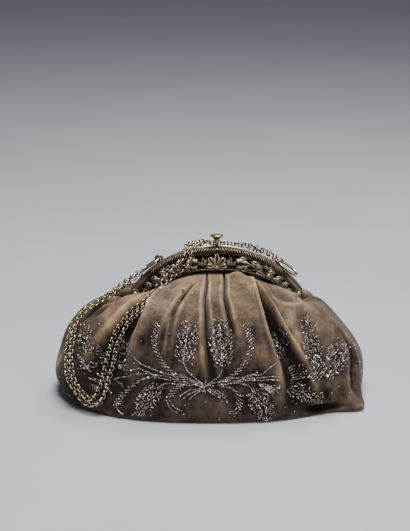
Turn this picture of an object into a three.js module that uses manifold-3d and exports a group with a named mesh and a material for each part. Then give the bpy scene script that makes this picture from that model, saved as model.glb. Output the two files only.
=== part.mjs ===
// A gathered velvet handbag that rests on a table: a soft pouch on a hinged frame of pierced metal,
// with a push button on the rim and a double chain handle thrown over the frame and down the left side.
// Millimetres, +Z up, the front faces -Y. The origin lies on the table under the middle of the frame.
import * as THREE from "three";
import { mergeVertices } from "three/addons/utils/BufferGeometryUtils.js";
import Module from "manifold-3d";

const wasm = await Module();
wasm.setup();
const { degToRad, lerp, smoothstep } = THREE.MathUtils;

// Frame
const FRAME_RADIUS = 86; // outer arc of the rim
const FRAME_SPAN = 54; // half angle of the arc, in degrees
const FRAME_RISE = 38.4; // crown of the rim above the hinge line
const HINGE_HEIGHT = 84; // hinge line above the table
const FRAME_LEAN = 8; // the closed frame leans back, in degrees
const RIM_HEIGHT = 4.6;
const RIM_FRONT = 8; // rim's reach from the parting plane
const PARTING_GAP = 0.2; // each half stays this far from the parting plane
const PANEL_BACK = 6; // inner face of the pierced panel
const PANEL_THICK = 1.4;
const PANEL_MID_HEIGHT = 19; // panel and rim together, at the crown
const PANEL_END_LOSS = 10.5; // how much lower the panel is at the hinge
const RAIL_RADIUS = 1.1;
const RELIEF = 0.9;
const LEAF_SINK = 0.5; // how far a leaf's back starts inside the panel
const EYE_RADIUS = 4.2;
const PIN_RADIUS = 1.2;
const RUNNING_GAP = 0.4;
const HINGE_DEPTH_IN_RIM = 4.5;

// Push button
const BUTTON_Y = -3.4;
const BUTTON_RADIUS = 5.4;
const BUTTON_RISE = 10;
const STEM_RADIUS = 1.2;
const STEM_DEPTH = 5.2;

// Chain, its loops and their lugs
const LUG_ANGLES = { left: -32, right: 35.2 }; // from the crown, in degrees
const LUG_RADIUS = 2.7;
const LUG_WIRE = 1.1;
const LUG_Y = 3.6;
const LUG_SINK = 0.5;
const LUG_DROP = 0.3; // the loop's wire hangs this far above the lug's middle
const LOOP_WIRE = 1;
const LOOP_END_RADIUS = 5.2;
const LOOP_STRETCH = 7;
const LOOP_SLOPE = 36; // below the level, in degrees
const CHAIN_RADIUS = 2.4;
const CHAIN_SIDES = 8;
const CHAIN_STEPS = 45;
const CHAIN_SPACING = 5.9; // between the middle lines of the two chains
const CHAIN_END_GAP = 1.2; // from the left loop to the chains' ends

// Pouch
const WALL = 2;
const DIP_POWER = 2.6;
const FRONT_COLUMNS = 44;
const BACK_COLUMNS = 24;
const FOLD_FLOOR = 3; // narrowest half width of a fold, in degrees
const LEVEL_STEP = 0.5;

// The pouch from its mouth to the middle of its base, a closed section a row. mid: height at the front and
// back. dip: how far the section falls at its two ends. wide, front, back: reach from its centre line.
// shift: how far the centre line stands off to the right. square: 2 is an ellipse, more is squarer.
const SECTIONS = [
  { name: "tuck", mid: 115.3, dip: 22.5, wide: 57, front: 5.6, back: 5.6, shift: 0, square: 5 },
  { name: "lip", mid: 101.6, dip: 24, wide: 60, front: 5.6, back: 5.6, shift: 0, square: 5 },
  { name: "puff", mid: 97.6, dip: 22, wide: 72, front: 19, back: 17, shift: -1.5, square: 3.4 },
  { name: "shoulder", mid: 87, dip: 11, wide: 89, front: 41, back: 37, shift: -6, square: 2.7 },
  { name: "upper", mid: 67, dip: 6, wide: 106, front: 59, back: 53, shift: -8, square: 2.5 },
  { name: "belly", mid: 43, dip: 4, wide: 120.5, front: 70, back: 63, shift: -6.5, square: 2.4 },
  { name: "low", mid: 21, dip: 1, wide: 126.5, front: 74, back: 66, shift: -6, square: 2.3 },
  { name: "foot", mid: 6, dip: 0, wide: 123, front: 73, back: 65, shift: -4.6, square: 2.3 },
  { name: "sole edge", mid: 0, dip: 0, wide: 117, front: 69, back: 61, shift: -4.6, square: 2.3 },
  { name: "sole", mid: 0, dip: 0, wide: 62, front: 37, back: 33, shift: -4.6, square: 2.2 },
  { name: "sole middle", mid: 0, dip: 0, wide: 0, front: 0, back: 0, shift: -4.6, square: 2.2 },
];
const SOLE = 8;

// Valleys between the gathers. turn runs round the pouch from the front, to the right. A valley goes from
// section `from` to section `to`, its turn from `top` over `mid` to `foot`, its half width from `thin` to
// `wide`.
const FOLDS = [
  { name: "pleat left", top: -5.5, mid: -1.5, foot: -1, from: 1.5, to: 5.6, thin: 2.6, wide: 3, deep: 4.5 },
  { name: "pleat right", top: 5.5, mid: 9, foot: 12, from: 1.5, to: 4.4, thin: 2.6, wide: 3.4, deep: 4.5 },
  { name: "right gorge", top: 29, mid: 33, foot: 35, from: 1.5, to: 7.2, thin: 3, wide: 5.2, deep: 13 },
  { name: "right pocket", top: 45, mid: 50, foot: 56, from: 1.5, to: 5, thin: 4, wide: 5, deep: 5 },
  { name: "right side", top: 68, mid: 71, foot: 72, from: 1.8, to: 7, thin: 5, wide: 5, deep: 7 },
  { name: "left gorge", top: -37, mid: -42, foot: -44, from: 1.6, to: 6.8, thin: 3.4, wide: 9, deep: 13 },
  { name: "left crease", top: -18, mid: -20, foot: -20, from: 1.7, to: 5, thin: 3, wide: 3.4, deep: 3 },
  { name: "left shoulder", top: -64, mid: -68, foot: -70, from: 1.6, to: 5, thin: 4, wide: 5, deep: 6 },
  { name: "left side", top: -82, mid: -86, foot: -88, from: 2, to: 6, thin: 5, wide: 6, deep: 5 },
  { name: "back right", top: 108, mid: 106, foot: 104, from: 1.6, to: 6.5, thin: 5, wide: 7, deep: 8 },
  { name: "back right mid", top: 140, mid: 136, foot: 134, from: 1.6, to: 6.5, thin: 5, wide: 7, deep: 9 },
  { name: "back middle", top: 172, mid: 174, foot: 175, from: 1.6, to: 5.5, thin: 5, wide: 6, deep: 6 },
  { name: "back left mid", top: 214, mid: 220, foot: 222, from: 1.6, to: 6.5, thin: 5, wide: 7, deep: 9 },
  { name: "back left", top: 248, mid: 252, foot: 254, from: 1.6, to: 6.5, thin: 5, wide: 7, deep: 7 },
];

// Swells and dents of the cloth between the valleys: where, how far they spread and how far they stand out.
const SWELLS = [
  { name: "puff under the frame", turn: 18, down: 2.1, spread: 9, tall: 0.5, out: 3 },
  { name: "right shoulder", turn: 52, down: 2.9, spread: 14, tall: 0.7, out: 3 },
  { name: "left shoulder", turn: -55, down: 2.6, spread: 8, tall: 0.6, out: 3 },
  { name: "left panel", turn: -20, down: 4, spread: 16, tall: 1.4, out: 3 },
  { name: "right panel", turn: 18, down: 4.4, spread: 12, tall: 1.4, out: 3 },
  { name: "right corner", turn: 64, down: 7.3, spread: 9, tall: 0.8, out: 15 },
  { name: "right hollow", turn: 43, down: 6.9, spread: 8, tall: 0.5, out: -6 },
];

// Value of one column of the section table at v, smooth and without overshoot.
function column(key, v) {
  const last = SECTIONS.length - 1;
  const i = Math.min(Math.floor(v), last - 1);
  const t = v - i;
  const at = (k) => SECTIONS[Math.min(Math.max(k, 0), last)][key];
  const slope = (k) => {
    const before = at(k) - at(k - 1);
    const after = at(k + 1) - at(k);
    return before * after > 0 ? (2 * before * after) / (before + after) : 0;
  };
  const tt = t * t;
  const ttt = tt * t;
  return at(i) * (2 * ttt - 3 * tt + 1) + slope(i) * (ttt - 2 * tt + t)
    + at(i + 1) * (3 * tt - 2 * ttt) + slope(i + 1) * (ttt - tt);
}

// A point of the closed frame's own upright space, set into the bag's space.
function leaned(point, share = 1) {
  const lean = new THREE.Matrix4().makeRotationX(-degToRad(FRAME_LEAN * share));
  const pivot = new THREE.Vector3(0, 0, HINGE_HEIGHT);
  return point.sub(pivot).applyMatrix4(lean).add(pivot);
}

// The smooth pouch without folds.
function basePoint(turn, v) {
  const sine = Math.sin(degToRad(turn));
  const facing = Math.cos(degToRad(turn)) >= 0;
  const square = column("square", v);
  const bow = Math.pow(Math.max(1 - Math.pow(Math.abs(sine), square), 0), 1 / square);
  const reach = facing ? -column("front", v) : column("back", v);
  const point = new THREE.Vector3(
    column("shift", v) + column("wide", v) * sine,
    reach * bow,
    column("mid", v) - column("dip", v) * Math.pow(Math.abs(sine), DIP_POWER),
  );
  return leaned(point, 1 - smoothstep(v, 1.5, 4.5));
}

function baseNormal(turn, v) {
  if (v >= SOLE) return new THREE.Vector3(0, 0, -1);
  const low = Math.max(v - 0.05, 0);
  const around = basePoint(turn + 1.5, v).sub(basePoint(turn - 1.5, v));
  const down = basePoint(turn, v + 0.05).sub(basePoint(turn, low));
  return down.cross(around).normalize();
}

// Angle from a to b, between -180 and 180.
const bearing = (a, b) => ((((b - a + 180) % 360) + 360) % 360) - 180;

// How far the cloth stands off the smooth pouch: valleys with a raised lip on each side, and swells.
function foldHeight(turn, v) {
  let height = 0;
  for (const fold of FOLDS) {
    const share = (v - fold.from) / (fold.to - fold.from);
    if (share <= 0 || share >= 1) continue;
    const upper = lerp(fold.top, fold.mid, share * 2);
    const lower = lerp(fold.mid, fold.foot, share * 2 - 1);
    const centre = share < 0.5 ? upper : lower;
    const half = Math.max(lerp(fold.thin, fold.wide, share), FOLD_FLOOR);
    const x = Math.abs(bearing(centre, turn)) / half;
    const lip = Math.exp(-Math.pow((x - 1.9) / 0.7, 2));
    const grow = smoothstep(share, 0, 0.35) * (1 - smoothstep(share, 0.6, 1));
    height += fold.deep * grow * (0.22 * lip - Math.exp(-x * x));
  }
  for (const swell of SWELLS) {
    const across = bearing(swell.turn, turn) / swell.spread;
    const along = (v - swell.down) / swell.tall;
    height += swell.out * Math.exp(-across * across - along * along);
  }
  return height * smoothstep(v, 1.4, 2.3) * (1 - smoothstep(v, SOLE, SOLE + 0.9));
}

// Cloth at a turn and section; `inward` goes into the wall.
function pouchPoint(turn, v, inward = 0) {
  const normal = baseNormal(turn, v);
  const level = 1 - smoothstep(v, 6, 7.4);
  const push = v >= SOLE ? basePoint(turn, v).sub(basePoint(turn, SECTIONS.length - 1)) : normal.clone();
  push.z *= level;
  if (push.lengthSq() > 0) push.normalize();
  const point = basePoint(turn, v).addScaledVector(push, foldHeight(turn, v));
  point.addScaledVector(normal, -inward);
  point.z = Math.max(point.z, inward);
  return point;
}

function pouchTurns() {
  const turns = [];
  for (let i = 0; i < FRONT_COLUMNS; i += 1) turns.push(-90 + (180 * i) / FRONT_COLUMNS);
  for (let i = 0; i < BACK_COLUMNS; i += 1) turns.push(90 + (180 * i) / BACK_COLUMNS);
  return turns;
}

// The cloth wall: the outside from the mouth to the sole's middle, the inside back up, closed at the mouth.
function pouchGeometry() {
  const turns = pouchTurns();
  const levels = [0];
  for (let v = 1; v <= SOLE; v += LEVEL_STEP) levels.push(v);
  levels.push(SOLE + 1);
  const positions = [];
  const index = [];
  const add = (p) => positions.push(p.x, p.y, p.z) / 3 - 1;
  const layer = (inward) => {
    const rings = levels.map((v) => turns.map((turn) => add(pouchPoint(turn, v, inward))));
    rings.push(turns.map(() => null));
    const middle = basePoint(0, SECTIONS.length - 1);
    middle.z = inward;
    rings[rings.length - 1].fill(add(middle));
    return rings;
  };
  const quad = (a, b, c, d) => index.push(a, b, c, a, c, d);
  const outside = layer(0);
  const inside = layer(WALL);
  const count = turns.length;
  for (let k = 0; k < count; k += 1) {
    const n = (k + 1) % count;
    for (let r = 0; r + 2 < outside.length; r += 1) {
      quad(outside[r][k], outside[r + 1][k], outside[r + 1][n], outside[r][n]);
      quad(inside[r][k], inside[r][n], inside[r + 1][n], inside[r + 1][k]);
    }
    const end = outside.length - 1;
    index.push(outside[end - 1][k], outside[end][k], outside[end - 1][n]);
    index.push(inside[end - 1][k], inside[end - 1][n], inside[end][k]);
    quad(outside[0][k], outside[0][n], inside[0][n], inside[0][k]);
  }
  const geometry = new THREE.BufferGeometry();
  geometry.setAttribute("position", new THREE.Float32BufferAttribute(positions, 3));
  geometry.setIndex(index);
  return geometry;
}

// Joins and cuts of closed geometry
function solid(geometry) {
  const plain = geometry.clone();
  plain.deleteAttribute("normal");
  plain.deleteAttribute("uv");
  const merged = mergeVertices(plain, 1e-4);
  return new wasm.Manifold(new wasm.Mesh({
    numProp: 3,
    vertProperties: Float32Array.from(merged.attributes.position.array),
    triVerts: Uint32Array.from(merged.index.array),
  }));
}

function geometryOf(manifold) {
  const mesh = manifold.getMesh();
  const geometry = new THREE.BufferGeometry();
  geometry.setAttribute("position", new THREE.Float32BufferAttribute(mesh.vertProperties, 3));
  geometry.setIndex(Array.from(mesh.triVerts));
  return geometry;
}

// Places on the frame: an angle from the crown and a distance from the arc's centre.
function arcPoint(angle, radius) {
  const turn = degToRad(angle);
  return new THREE.Vector2(radius * Math.sin(turn), FRAME_RISE - FRAME_RADIUS + radius * Math.cos(turn));
}

function panelRadius(angle) {
  const share = Math.abs(angle) / FRAME_SPAN;
  return FRAME_RADIUS - PANEL_MID_HEIGHT + PANEL_END_LOSS * Math.pow(share, 1.5);
}

function arcRow(from, to, steps, radiusAt) {
  return Array.from({ length: steps + 1 }, (_, i) => {
    const angle = lerp(from, to, i / steps);
    return arcPoint(angle, radiusAt(angle));
  });
}

class ArcPath extends THREE.Curve {
  constructor(radiusAt, span, depth) {
    super();
    this.radiusAt = radiusAt;
    this.span = span;
    this.depth = depth;
  }

  getPoint(t, target = new THREE.Vector3()) {
    const angle = lerp(-this.span, this.span, t);
    const flat = arcPoint(angle, this.radiusAt(angle));
    return target.set(flat.x, this.depth, flat.y);
  }
}

// A bar of the given section along an arc of the frame; the section's x points to the front, its y inward.
function arcBar(section, path, steps) {
  const shape = new THREE.Shape(section.map(([x, y]) => new THREE.Vector2(x, y)));
  return new THREE.ExtrudeGeometry(shape, { steps, bevelEnabled: false, extrudePath: path });
}

// A flat outline in the panel's plane, given thickness towards the front from depth `back`.
function plate(shape, back, thick) {
  const geometry = new THREE.ExtrudeGeometry(shape, { depth: thick, bevelEnabled: false, curveSegments: 3 });
  return geometry.rotateX(Math.PI / 2).translate(0, -back, 0);
}

// Outline of a leaf: pointed at both ends, `length` long and `width` wide, at a place and tilt on the panel.
function leafOutline(angle, rise, length, width, tilt) {
  const centre = arcPoint(angle, panelRadius(angle) + rise);
  const way = degToRad(90 - angle - tilt);
  const along = new THREE.Vector2(Math.cos(way), Math.sin(way));
  const across = new THREE.Vector2(-along.y, along.x);
  const spots = [[-0.5, 0], [-0.2, -0.45], [0.2, -0.45], [0.5, 0], [0.2, 0.45], [-0.2, 0.45]];
  return spots.map(([a, b]) =>
    centre.clone().addScaledVector(along, a * length).addScaledVector(across, b * width));
}

// Gaps cut through the panel between the leaves, on each side of the middle: place, size and tilt.
const GAPS = [
  { angle: 7.6, rise: 6.4, length: 10, width: 3.4, tilt: -8 },
  { angle: 11.6, rise: 4.6, length: 6.5, width: 2.2, tilt: 6 },
  { angle: 15, rise: 11.4, length: 9.5, width: 2.8, tilt: 78 },
  { angle: 23.4, rise: 4.2, length: 6, width: 2.4, tilt: 24 },
  { angle: 24, rise: 9.6, length: 6.5, width: 2.2, tilt: 66 },
  { angle: 31.6, rise: 5.4, length: 5.4, width: 3.6, tilt: 10 },
  { angle: 36.6, rise: 5.2, length: 6, width: 2.4, tilt: 40 },
  { angle: 41, rise: 4, length: 5, width: 2, tilt: 46 },
  { angle: 45.4, rise: 3, length: 4.4, width: 1.7, tilt: 54 },
];

// Raised leaves of one side: the wing beside the palmette and the leaf sprays towards the hinge.
const LEAVES = [
  { angle: 17.6, rise: 4.8, length: 9.6, width: 7.4, tilt: 30 },
  { angle: 34.4, rise: 4.2, length: 6.4, width: 2.4, tilt: 30 },
  { angle: 38.8, rise: 3.6, length: 6, width: 2.2, tilt: 42 },
  { angle: 43.2, rise: 2.8, length: 5, width: 2, tilt: 50 },
];

// Lobes of the palmette, spread like a hand from its foot on the rail.
const PALMETTE_TILTS = [-72, -36, 0, 36, 72];
const PALMETTE_LOBE = 7.2;
const ROSETTE_ANGLE = 27.6;
const ROSETTE_RISE = 5.4;
const ROSETTE_RADIUS = 2.8;

function swollen(radius, stretch, angle, rise, tilt, lift) {
  const centre = arcPoint(angle, panelRadius(angle) + rise);
  const geometry = new THREE.SphereGeometry(radius, 7, 4);
  geometry.scale(1, RELIEF / radius, stretch);
  geometry.rotateY(degToRad(angle + tilt));
  return geometry.translate(centre.x, -(PANEL_BACK + PANEL_THICK) + lift, centre.y);
}

// One half of the frame, facing the front: rim, pierced panel, rail, hinge eyes and raised work, one casting.
function frameHalf() {
  const rimSection = [
    [PARTING_GAP, 0.9], [1.4, 0], [RIM_FRONT - 1.6, 0], [RIM_FRONT, 1.5], [RIM_FRONT, 3],
    [RIM_FRONT - 1.4, RIM_HEIGHT], [PARTING_GAP, RIM_HEIGHT],
  ];
  const rim = arcBar(rimSection, new ArcPath(() => FRAME_RADIUS, FRAME_SPAN, 0), 22);
  const outer = arcRow(-FRAME_SPAN, FRAME_SPAN, 20, () => FRAME_RADIUS - 0.6 * RIM_HEIGHT);
  const inner = arcRow(FRAME_SPAN, -FRAME_SPAN, 20, panelRadius);
  const outline = new THREE.Shape([...outer, ...inner]);
  for (const side of [-1, 1]) {
    for (const gap of GAPS) {
      const spots = leafOutline(side * gap.angle, gap.rise, gap.length, gap.width, side * gap.tilt);
      outline.holes.push(new THREE.Path(spots));
    }
  }
  let half = solid(rim).add(solid(plate(outline, PANEL_BACK, PANEL_THICK)));
  const round = Array.from({ length: 6 }, (_, i) => {
    const turn = (Math.PI * (2 * i + 1)) / 6;
    return [PANEL_BACK + 1 + RAIL_RADIUS * Math.cos(turn), RAIL_RADIUS * Math.sin(turn)];
  });
  const rail = arcBar(round, new ArcPath((a) => panelRadius(a) + RAIL_RADIUS, FRAME_SPAN - 1, 0), 20);
  half = half.add(solid(rail));
  for (const tilt of PALMETTE_TILTS) {
    const reach = PALMETTE_LOBE * Math.cos(degToRad(tilt));
    const lobe = swollen(1.9, 2.2, 0, 1.6 + 0.55 * reach, tilt, 0);
    lobe.translate(0.55 * PALMETTE_LOBE * Math.sin(degToRad(tilt)), 0, 0);
    half = half.add(solid(lobe));
  }
  for (const side of [-1, 1]) {
    for (const leaf of LEAVES) {
      const spots = leafOutline(side * leaf.angle, leaf.rise, leaf.length, leaf.width, side * leaf.tilt);
      const raised = new THREE.Shape(side > 0 ? spots : spots.reverse());
      half = half.add(solid(plate(raised, PANEL_BACK + LEAF_SINK, PANEL_THICK - LEAF_SINK + RELIEF)));
    }
    half = half.add(solid(swollen(ROSETTE_RADIUS, 1, side * ROSETTE_ANGLE, ROSETTE_RISE, 0, 0)));
    const spot = arcPoint(side * FRAME_SPAN, FRAME_RADIUS - HINGE_DEPTH_IN_RIM);
    const deep = RIM_FRONT - PARTING_GAP;
    const eye = new THREE.CylinderGeometry(EYE_RADIUS, EYE_RADIUS, deep, 12);
    eye.translate(spot.x, -PARTING_GAP - deep / 2, spot.y);
    const bore = new THREE.CylinderGeometry(PIN_RADIUS + RUNNING_GAP, PIN_RADIUS + RUNNING_GAP, 30, 12);
    bore.translate(spot.x, 0, spot.y);
    half = half.add(solid(eye)).subtract(solid(bore));
  }
  return half;
}

function frontFrameGeometry() {
  const bore = new THREE.CylinderGeometry(STEM_RADIUS + RUNNING_GAP, STEM_RADIUS + RUNNING_GAP, 40, 12);
  bore.rotateX(Math.PI / 2).translate(0, BUTTON_Y, FRAME_RISE);
  return geometryOf(frameHalf().subtract(solid(bore)).simplify(0.05));
}

// Middle of a lug, which stands on the rim with its foot sunk into it.
const lugSpot = (angle) => arcPoint(angle, FRAME_RADIUS + LUG_RADIUS - LUG_SINK);

// The half behind is the front one mirrored, with two lugs for the chain's loops on its rim.
function backFrameGeometry() {
  let half = frameHalf().mirror([0, 1, 0]);
  for (const angle of Object.values(LUG_ANGLES)) {
    const spot = lugSpot(angle);
    const lug = new THREE.TorusGeometry(LUG_RADIUS, LUG_WIRE, 6, 12);
    lug.rotateX(Math.PI / 2).translate(spot.x, LUG_Y, spot.y);
    half = half.add(solid(lug));
  }
  return geometryOf(half.simplify(0.05));
}

// A turned piece: pairs of radius and height, from the axis back to the axis.
function turned(profile, sides) {
  const points = profile.map(([radius, height]) => new THREE.Vector2(radius, height));
  return new THREE.LatheGeometry(points, sides).rotateX(Math.PI / 2);
}

function buttonGeometry() {
  const profile = [
    [0, -STEM_DEPTH], [STEM_RADIUS, -STEM_DEPTH], [STEM_RADIUS, 2.6], [1.6, 4.4], [2.2, 6], [3.4, 7.3],
    [BUTTON_RADIUS, 8.2], [BUTTON_RADIUS, 9.1], [BUTTON_RADIUS - 1.2, 9.7], [0, BUTTON_RISE],
  ];
  return turned(profile, 18).translate(0, BUTTON_Y, FRAME_RISE);
}

function hingePinGeometry(side) {
  const half = RIM_FRONT + 0.3;
  const profile = [
    [0, -half - 1.3], [1.5, -half - 0.9], [2.3, -half], [PIN_RADIUS, -half], [PIN_RADIUS, half], [2.3, half],
    [1.5, half + 0.9], [0, half + 1.3],
  ];
  const spot = arcPoint(side * FRAME_SPAN, FRAME_RADIUS - HINGE_DEPTH_IN_RIM);
  return turned(profile, 10).rotateX(Math.PI / 2).translate(spot.x, 0, spot.y);
}

// An oval loop: a ring drawn out along its length, through a lug at one end.
function loopGeometry(angle) {
  const ring = new THREE.TorusGeometry(LOOP_END_RADIUS, LOOP_WIRE, 6, 18);
  ring.rotateZ(Math.PI / 18);
  const spots = ring.attributes.position;
  for (let i = 0; i < spots.count; i += 1) {
    spots.setX(i, spots.getX(i) + (Math.sign(spots.getX(i)) * LOOP_STRETCH) / 2);
  }
  ring.translate(LOOP_END_RADIUS + LOOP_STRETCH / 2, 0, 0);
  ring.rotateY(degToRad(LOOP_SLOPE));
  if (angle < 0) ring.rotateZ(Math.PI);
  const lug = lugSpot(angle);
  return ring.translate(lug.x, LUG_Y, lug.y + LUG_DROP);
}

// The handle's way from the right loop along the back of the rim, over it and down the front of the frame.
// angle and lift place it on the arc, depth is its y, and roll says which way the pair of chains faces:
// -90 to the back, 0 up, 90 to the front.
const ROUTE_ON_FRAME = [
  { angle: 31.4, lift: 3.6, depth: 3.7, roll: 0 },
  { angle: 25, lift: 3.6, depth: 5.4, roll: -15 },
  { angle: 19.4, lift: 1.4, depth: 9.8, roll: -55 },
  { angle: 14, lift: -2, depth: 11.4, roll: -78 },
  { angle: 7, lift: -3.4, depth: 11.4, roll: -86 },
  { angle: 0, lift: -3.4, depth: 11.4, roll: -86 },
  { angle: -5, lift: -2, depth: 11.4, roll: -78 },
  { angle: -8.8, lift: 2.4, depth: 8.6, roll: -40 },
  { angle: -11.2, lift: 3.6, depth: 1.6, roll: 0 },
  { angle: -13.4, lift: 3.8, depth: -5.6, roll: 25 },
  { angle: -15, lift: 0.4, depth: -11.2, roll: 65 },
  { angle: -17.2, lift: -5, depth: -12.6, roll: 88 },
  { angle: -20.6, lift: -8.2, depth: -12.6, roll: 90 },
  { angle: -25, lift: -10.2, depth: -12.8, roll: 90 },
  { angle: -30, lift: -11.4, depth: -13.6, roll: 90 },
];

// Its way over the velvet: down the left gorge, round near the table and up the left side.
const ROUTE_ON_POUCH = [
  { turn: -39, down: 2.25, off: 7.6 },
  { turn: -38.8, down: 2.9, off: 9.4 },
  { turn: -40.6, down: 3.5, off: 8.7 },
  { turn: -42, down: 4.3, off: 6.4 },
  { turn: -43, down: 5.1, off: 4.8 },
  { turn: -43.6, down: 5.8, off: 4 },
  { turn: -45.6, down: 6.35, off: 3.6 },
  { turn: -49.5, down: 6.5, off: 3.3 },
  { turn: -54, down: 6.15, off: 3.3 },
  { turn: -59.5, down: 5.5, off: 3.3 },
  { turn: -66, down: 4.8, off: 3.5 },
  { turn: -73.5, down: 4.1, off: 4.6 },
  { turn: -79, down: 3.6, off: 5.6 },
  { turn: -84.5, down: 3.15, off: 5.2 },
];

// Middle line of the handle, with the way that its two chains lie side by side.
function handleRoute() {
  const stops = ROUTE_ON_FRAME.map(({ angle, lift, depth, roll }) => {
    const flat = arcPoint(angle, FRAME_RADIUS + lift);
    const up = new THREE.Vector3(Math.sin(degToRad(angle)), 0, Math.cos(degToRad(angle)));
    const front = new THREE.Vector3(0, -1, 0);
    return {
      point: leaned(new THREE.Vector3(flat.x, depth, flat.y + HINGE_HEIGHT)),
      normal: up.multiplyScalar(Math.cos(degToRad(roll))).addScaledVector(front, Math.sin(degToRad(roll))),
    };
  });
  for (const { turn, down, off } of ROUTE_ON_POUCH) {
    stops.push({ point: pouchPoint(turn, down, -off), normal: baseNormal(turn, down) });
  }
  const lug = lugSpot(LUG_ANGLES.left);
  const length = 2 * LOOP_END_RADIUS + LOOP_STRETCH + LOOP_WIRE + CHAIN_END_GAP;
  const end = new THREE.Vector3(lug.x, LUG_Y, lug.y + LUG_DROP + HINGE_HEIGHT);
  end.x -= length * Math.cos(degToRad(LOOP_SLOPE));
  end.z -= length * Math.sin(degToRad(LOOP_SLOPE));
  stops.push({ point: leaned(end), normal: new THREE.Vector3(-0.5, 0, 0.87) });
  const middle = new THREE.CatmullRomCurve3(stops.map((stop) => stop.point), false, "centripetal");
  const facing = new THREE.CatmullRomCurve3(stops.map((stop) => stop.normal), false, "centripetal");
  return { middle, facing, count: stops.length };
}

function chainGeometry(side) {
  const { middle, facing, count } = handleRoute();
  const finer = 3 * (count - 1);
  const spots = Array.from({ length: finer + 1 }, (_, i) => {
    const t = i / finer;
    const across = facing.getPoint(t).cross(middle.getTangent(t)).normalize();
    return middle.getPoint(t).addScaledVector(across, (side * CHAIN_SPACING) / 2);
  });
  const section = new THREE.Shape(Array.from({ length: CHAIN_SIDES }, (_, i) => {
    const turn = (2 * Math.PI * i) / CHAIN_SIDES;
    return new THREE.Vector2(CHAIN_RADIUS * Math.cos(turn), CHAIN_RADIUS * Math.sin(turn));
  }));
  const path = new THREE.CatmullRomCurve3(spots);
  return new THREE.ExtrudeGeometry(section, { steps: CHAIN_STEPS, bevelEnabled: false, extrudePath: path });
}

// Finishes
function finish(name, color, roughness, metalness = 1) {
  return new THREE.MeshStandardMaterial({ name, color, roughness, metalness });
}

const materials = {
  velvet: finish("velvet", 0x7a6450, 0.95, 0),
  gilt: finish("gilt_metal", 0x8f8068, 0.4),
  chain: finish("chain_metal", 0x9a8c72, 0.35),
  button: finish("button_brass", 0xa8905c, 0.35),
};

function named(name, geometry, material) {
  const mesh = new THREE.Mesh(geometry, material);
  mesh.name = name;
  return mesh;
}

// The parts, each its own mesh; those of the frame lean back with it.
const frame = new THREE.Group();
frame.position.z = HINGE_HEIGHT;
frame.rotation.x = -degToRad(FRAME_LEAN);
frame.add(
  named("front_frame", frontFrameGeometry(), materials.gilt),
  named("back_frame", backFrameGeometry(), materials.gilt),
  named("hinge_pin_left", hingePinGeometry(-1), materials.gilt),
  named("hinge_pin_right", hingePinGeometry(1), materials.gilt),
  named("push_button", buttonGeometry(), materials.button),
  named("chain_loop_left", loopGeometry(LUG_ANGLES.left), materials.chain),
  named("chain_loop_right", loopGeometry(LUG_ANGLES.right), materials.chain),
);

const handbag = new THREE.Group();
handbag.name = "velvet_handbag";
handbag.add(
  frame,
  named("velvet_bag", pouchGeometry(), materials.velvet),
  named("chain_strand_inner", chainGeometry(1), materials.chain),
  named("chain_strand_outer", chainGeometry(-1), materials.chain),
);

export default handbag;
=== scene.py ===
"""Velvet handbag dressed for its picture: gathered pouch, bead embroidery, pierced frame and chain handle.

The functions work in millimetres and the meshes hold metres. The front faces -Y, +Z is up, and the origin
lies on the table under the middle of the frame. The frame's upright space has its zero on the hinge line.
"""

import math

import bpy
import numpy as np
from bpy.props import FloatProperty, FloatVectorProperty, IntProperty, PointerProperty
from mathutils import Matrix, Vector


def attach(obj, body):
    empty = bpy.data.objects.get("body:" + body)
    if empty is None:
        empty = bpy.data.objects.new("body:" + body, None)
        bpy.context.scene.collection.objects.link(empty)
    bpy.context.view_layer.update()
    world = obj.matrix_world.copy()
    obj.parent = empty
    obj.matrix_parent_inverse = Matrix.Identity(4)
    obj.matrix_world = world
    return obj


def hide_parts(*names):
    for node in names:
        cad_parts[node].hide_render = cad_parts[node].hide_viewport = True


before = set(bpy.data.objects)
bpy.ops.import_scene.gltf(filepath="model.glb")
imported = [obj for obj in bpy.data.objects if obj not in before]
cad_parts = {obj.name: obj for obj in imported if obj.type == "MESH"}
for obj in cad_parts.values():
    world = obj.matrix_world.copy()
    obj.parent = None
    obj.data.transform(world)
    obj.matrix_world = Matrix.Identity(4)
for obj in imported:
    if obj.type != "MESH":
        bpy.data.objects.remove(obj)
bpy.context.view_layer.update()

bl_info = {
    "name": "Velvet handbag",
    "version": (1, 0, 0),
    "blender": (4, 5, 0),
    "location": "3D View > Sidebar > Handbag",
    "description": "Makes a velvet handbag with bead embroidery, a pierced frame and a chain handle",
    "category": "Object",
}

MM = 0.001
BAG = "bag"
BUTTON = "button"

# Where the picture is taken from: tilt above the level, distance and target
VIEW_TILT = 18.0
VIEW_DISTANCE = 1190.0
VIEW_TARGET = (-9.5, 0.0, 107.0)

# Frame of the bag, as in the solids
FRAME_RADIUS = 86.0
FRAME_SPAN = 54.0
FRAME_RISE = 38.4
HINGE_HEIGHT = 84.0
FRAME_LEAN = 8.0
PANEL_BACK = 6.0
PANEL_MID_HEIGHT = 19.0
PANEL_END_LOSS = 10.5
EYE_RADIUS = 4.2
HINGE_DEPTH_IN_RIM = 4.5
RIM_FRONT = 8.0
RIM_HEIGHT = 4.6
PARTING_GAP = 0.2
BUTTON_Y = -3.4

# Lugs, loops and chains, as in the solids
LUG_LEFT = -32.0
LUG_RIGHT = 35.2
LUG_RADIUS = 2.7
LUG_SINK = 0.5
LUG_Y = 3.6
LUG_DROP = 0.3
LUG_FOOT = 2.0
LUG_FOOT_SINK = 0.6
LOOP_END_RADIUS = 5.2
LOOP_STRETCH = 7.0
LOOP_SLOPE = 36.0
CHAIN_SPACING = 5.9

# Turn of the right loop about its own length, in the picture alone
LOOP_TWIST = 13.0

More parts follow.
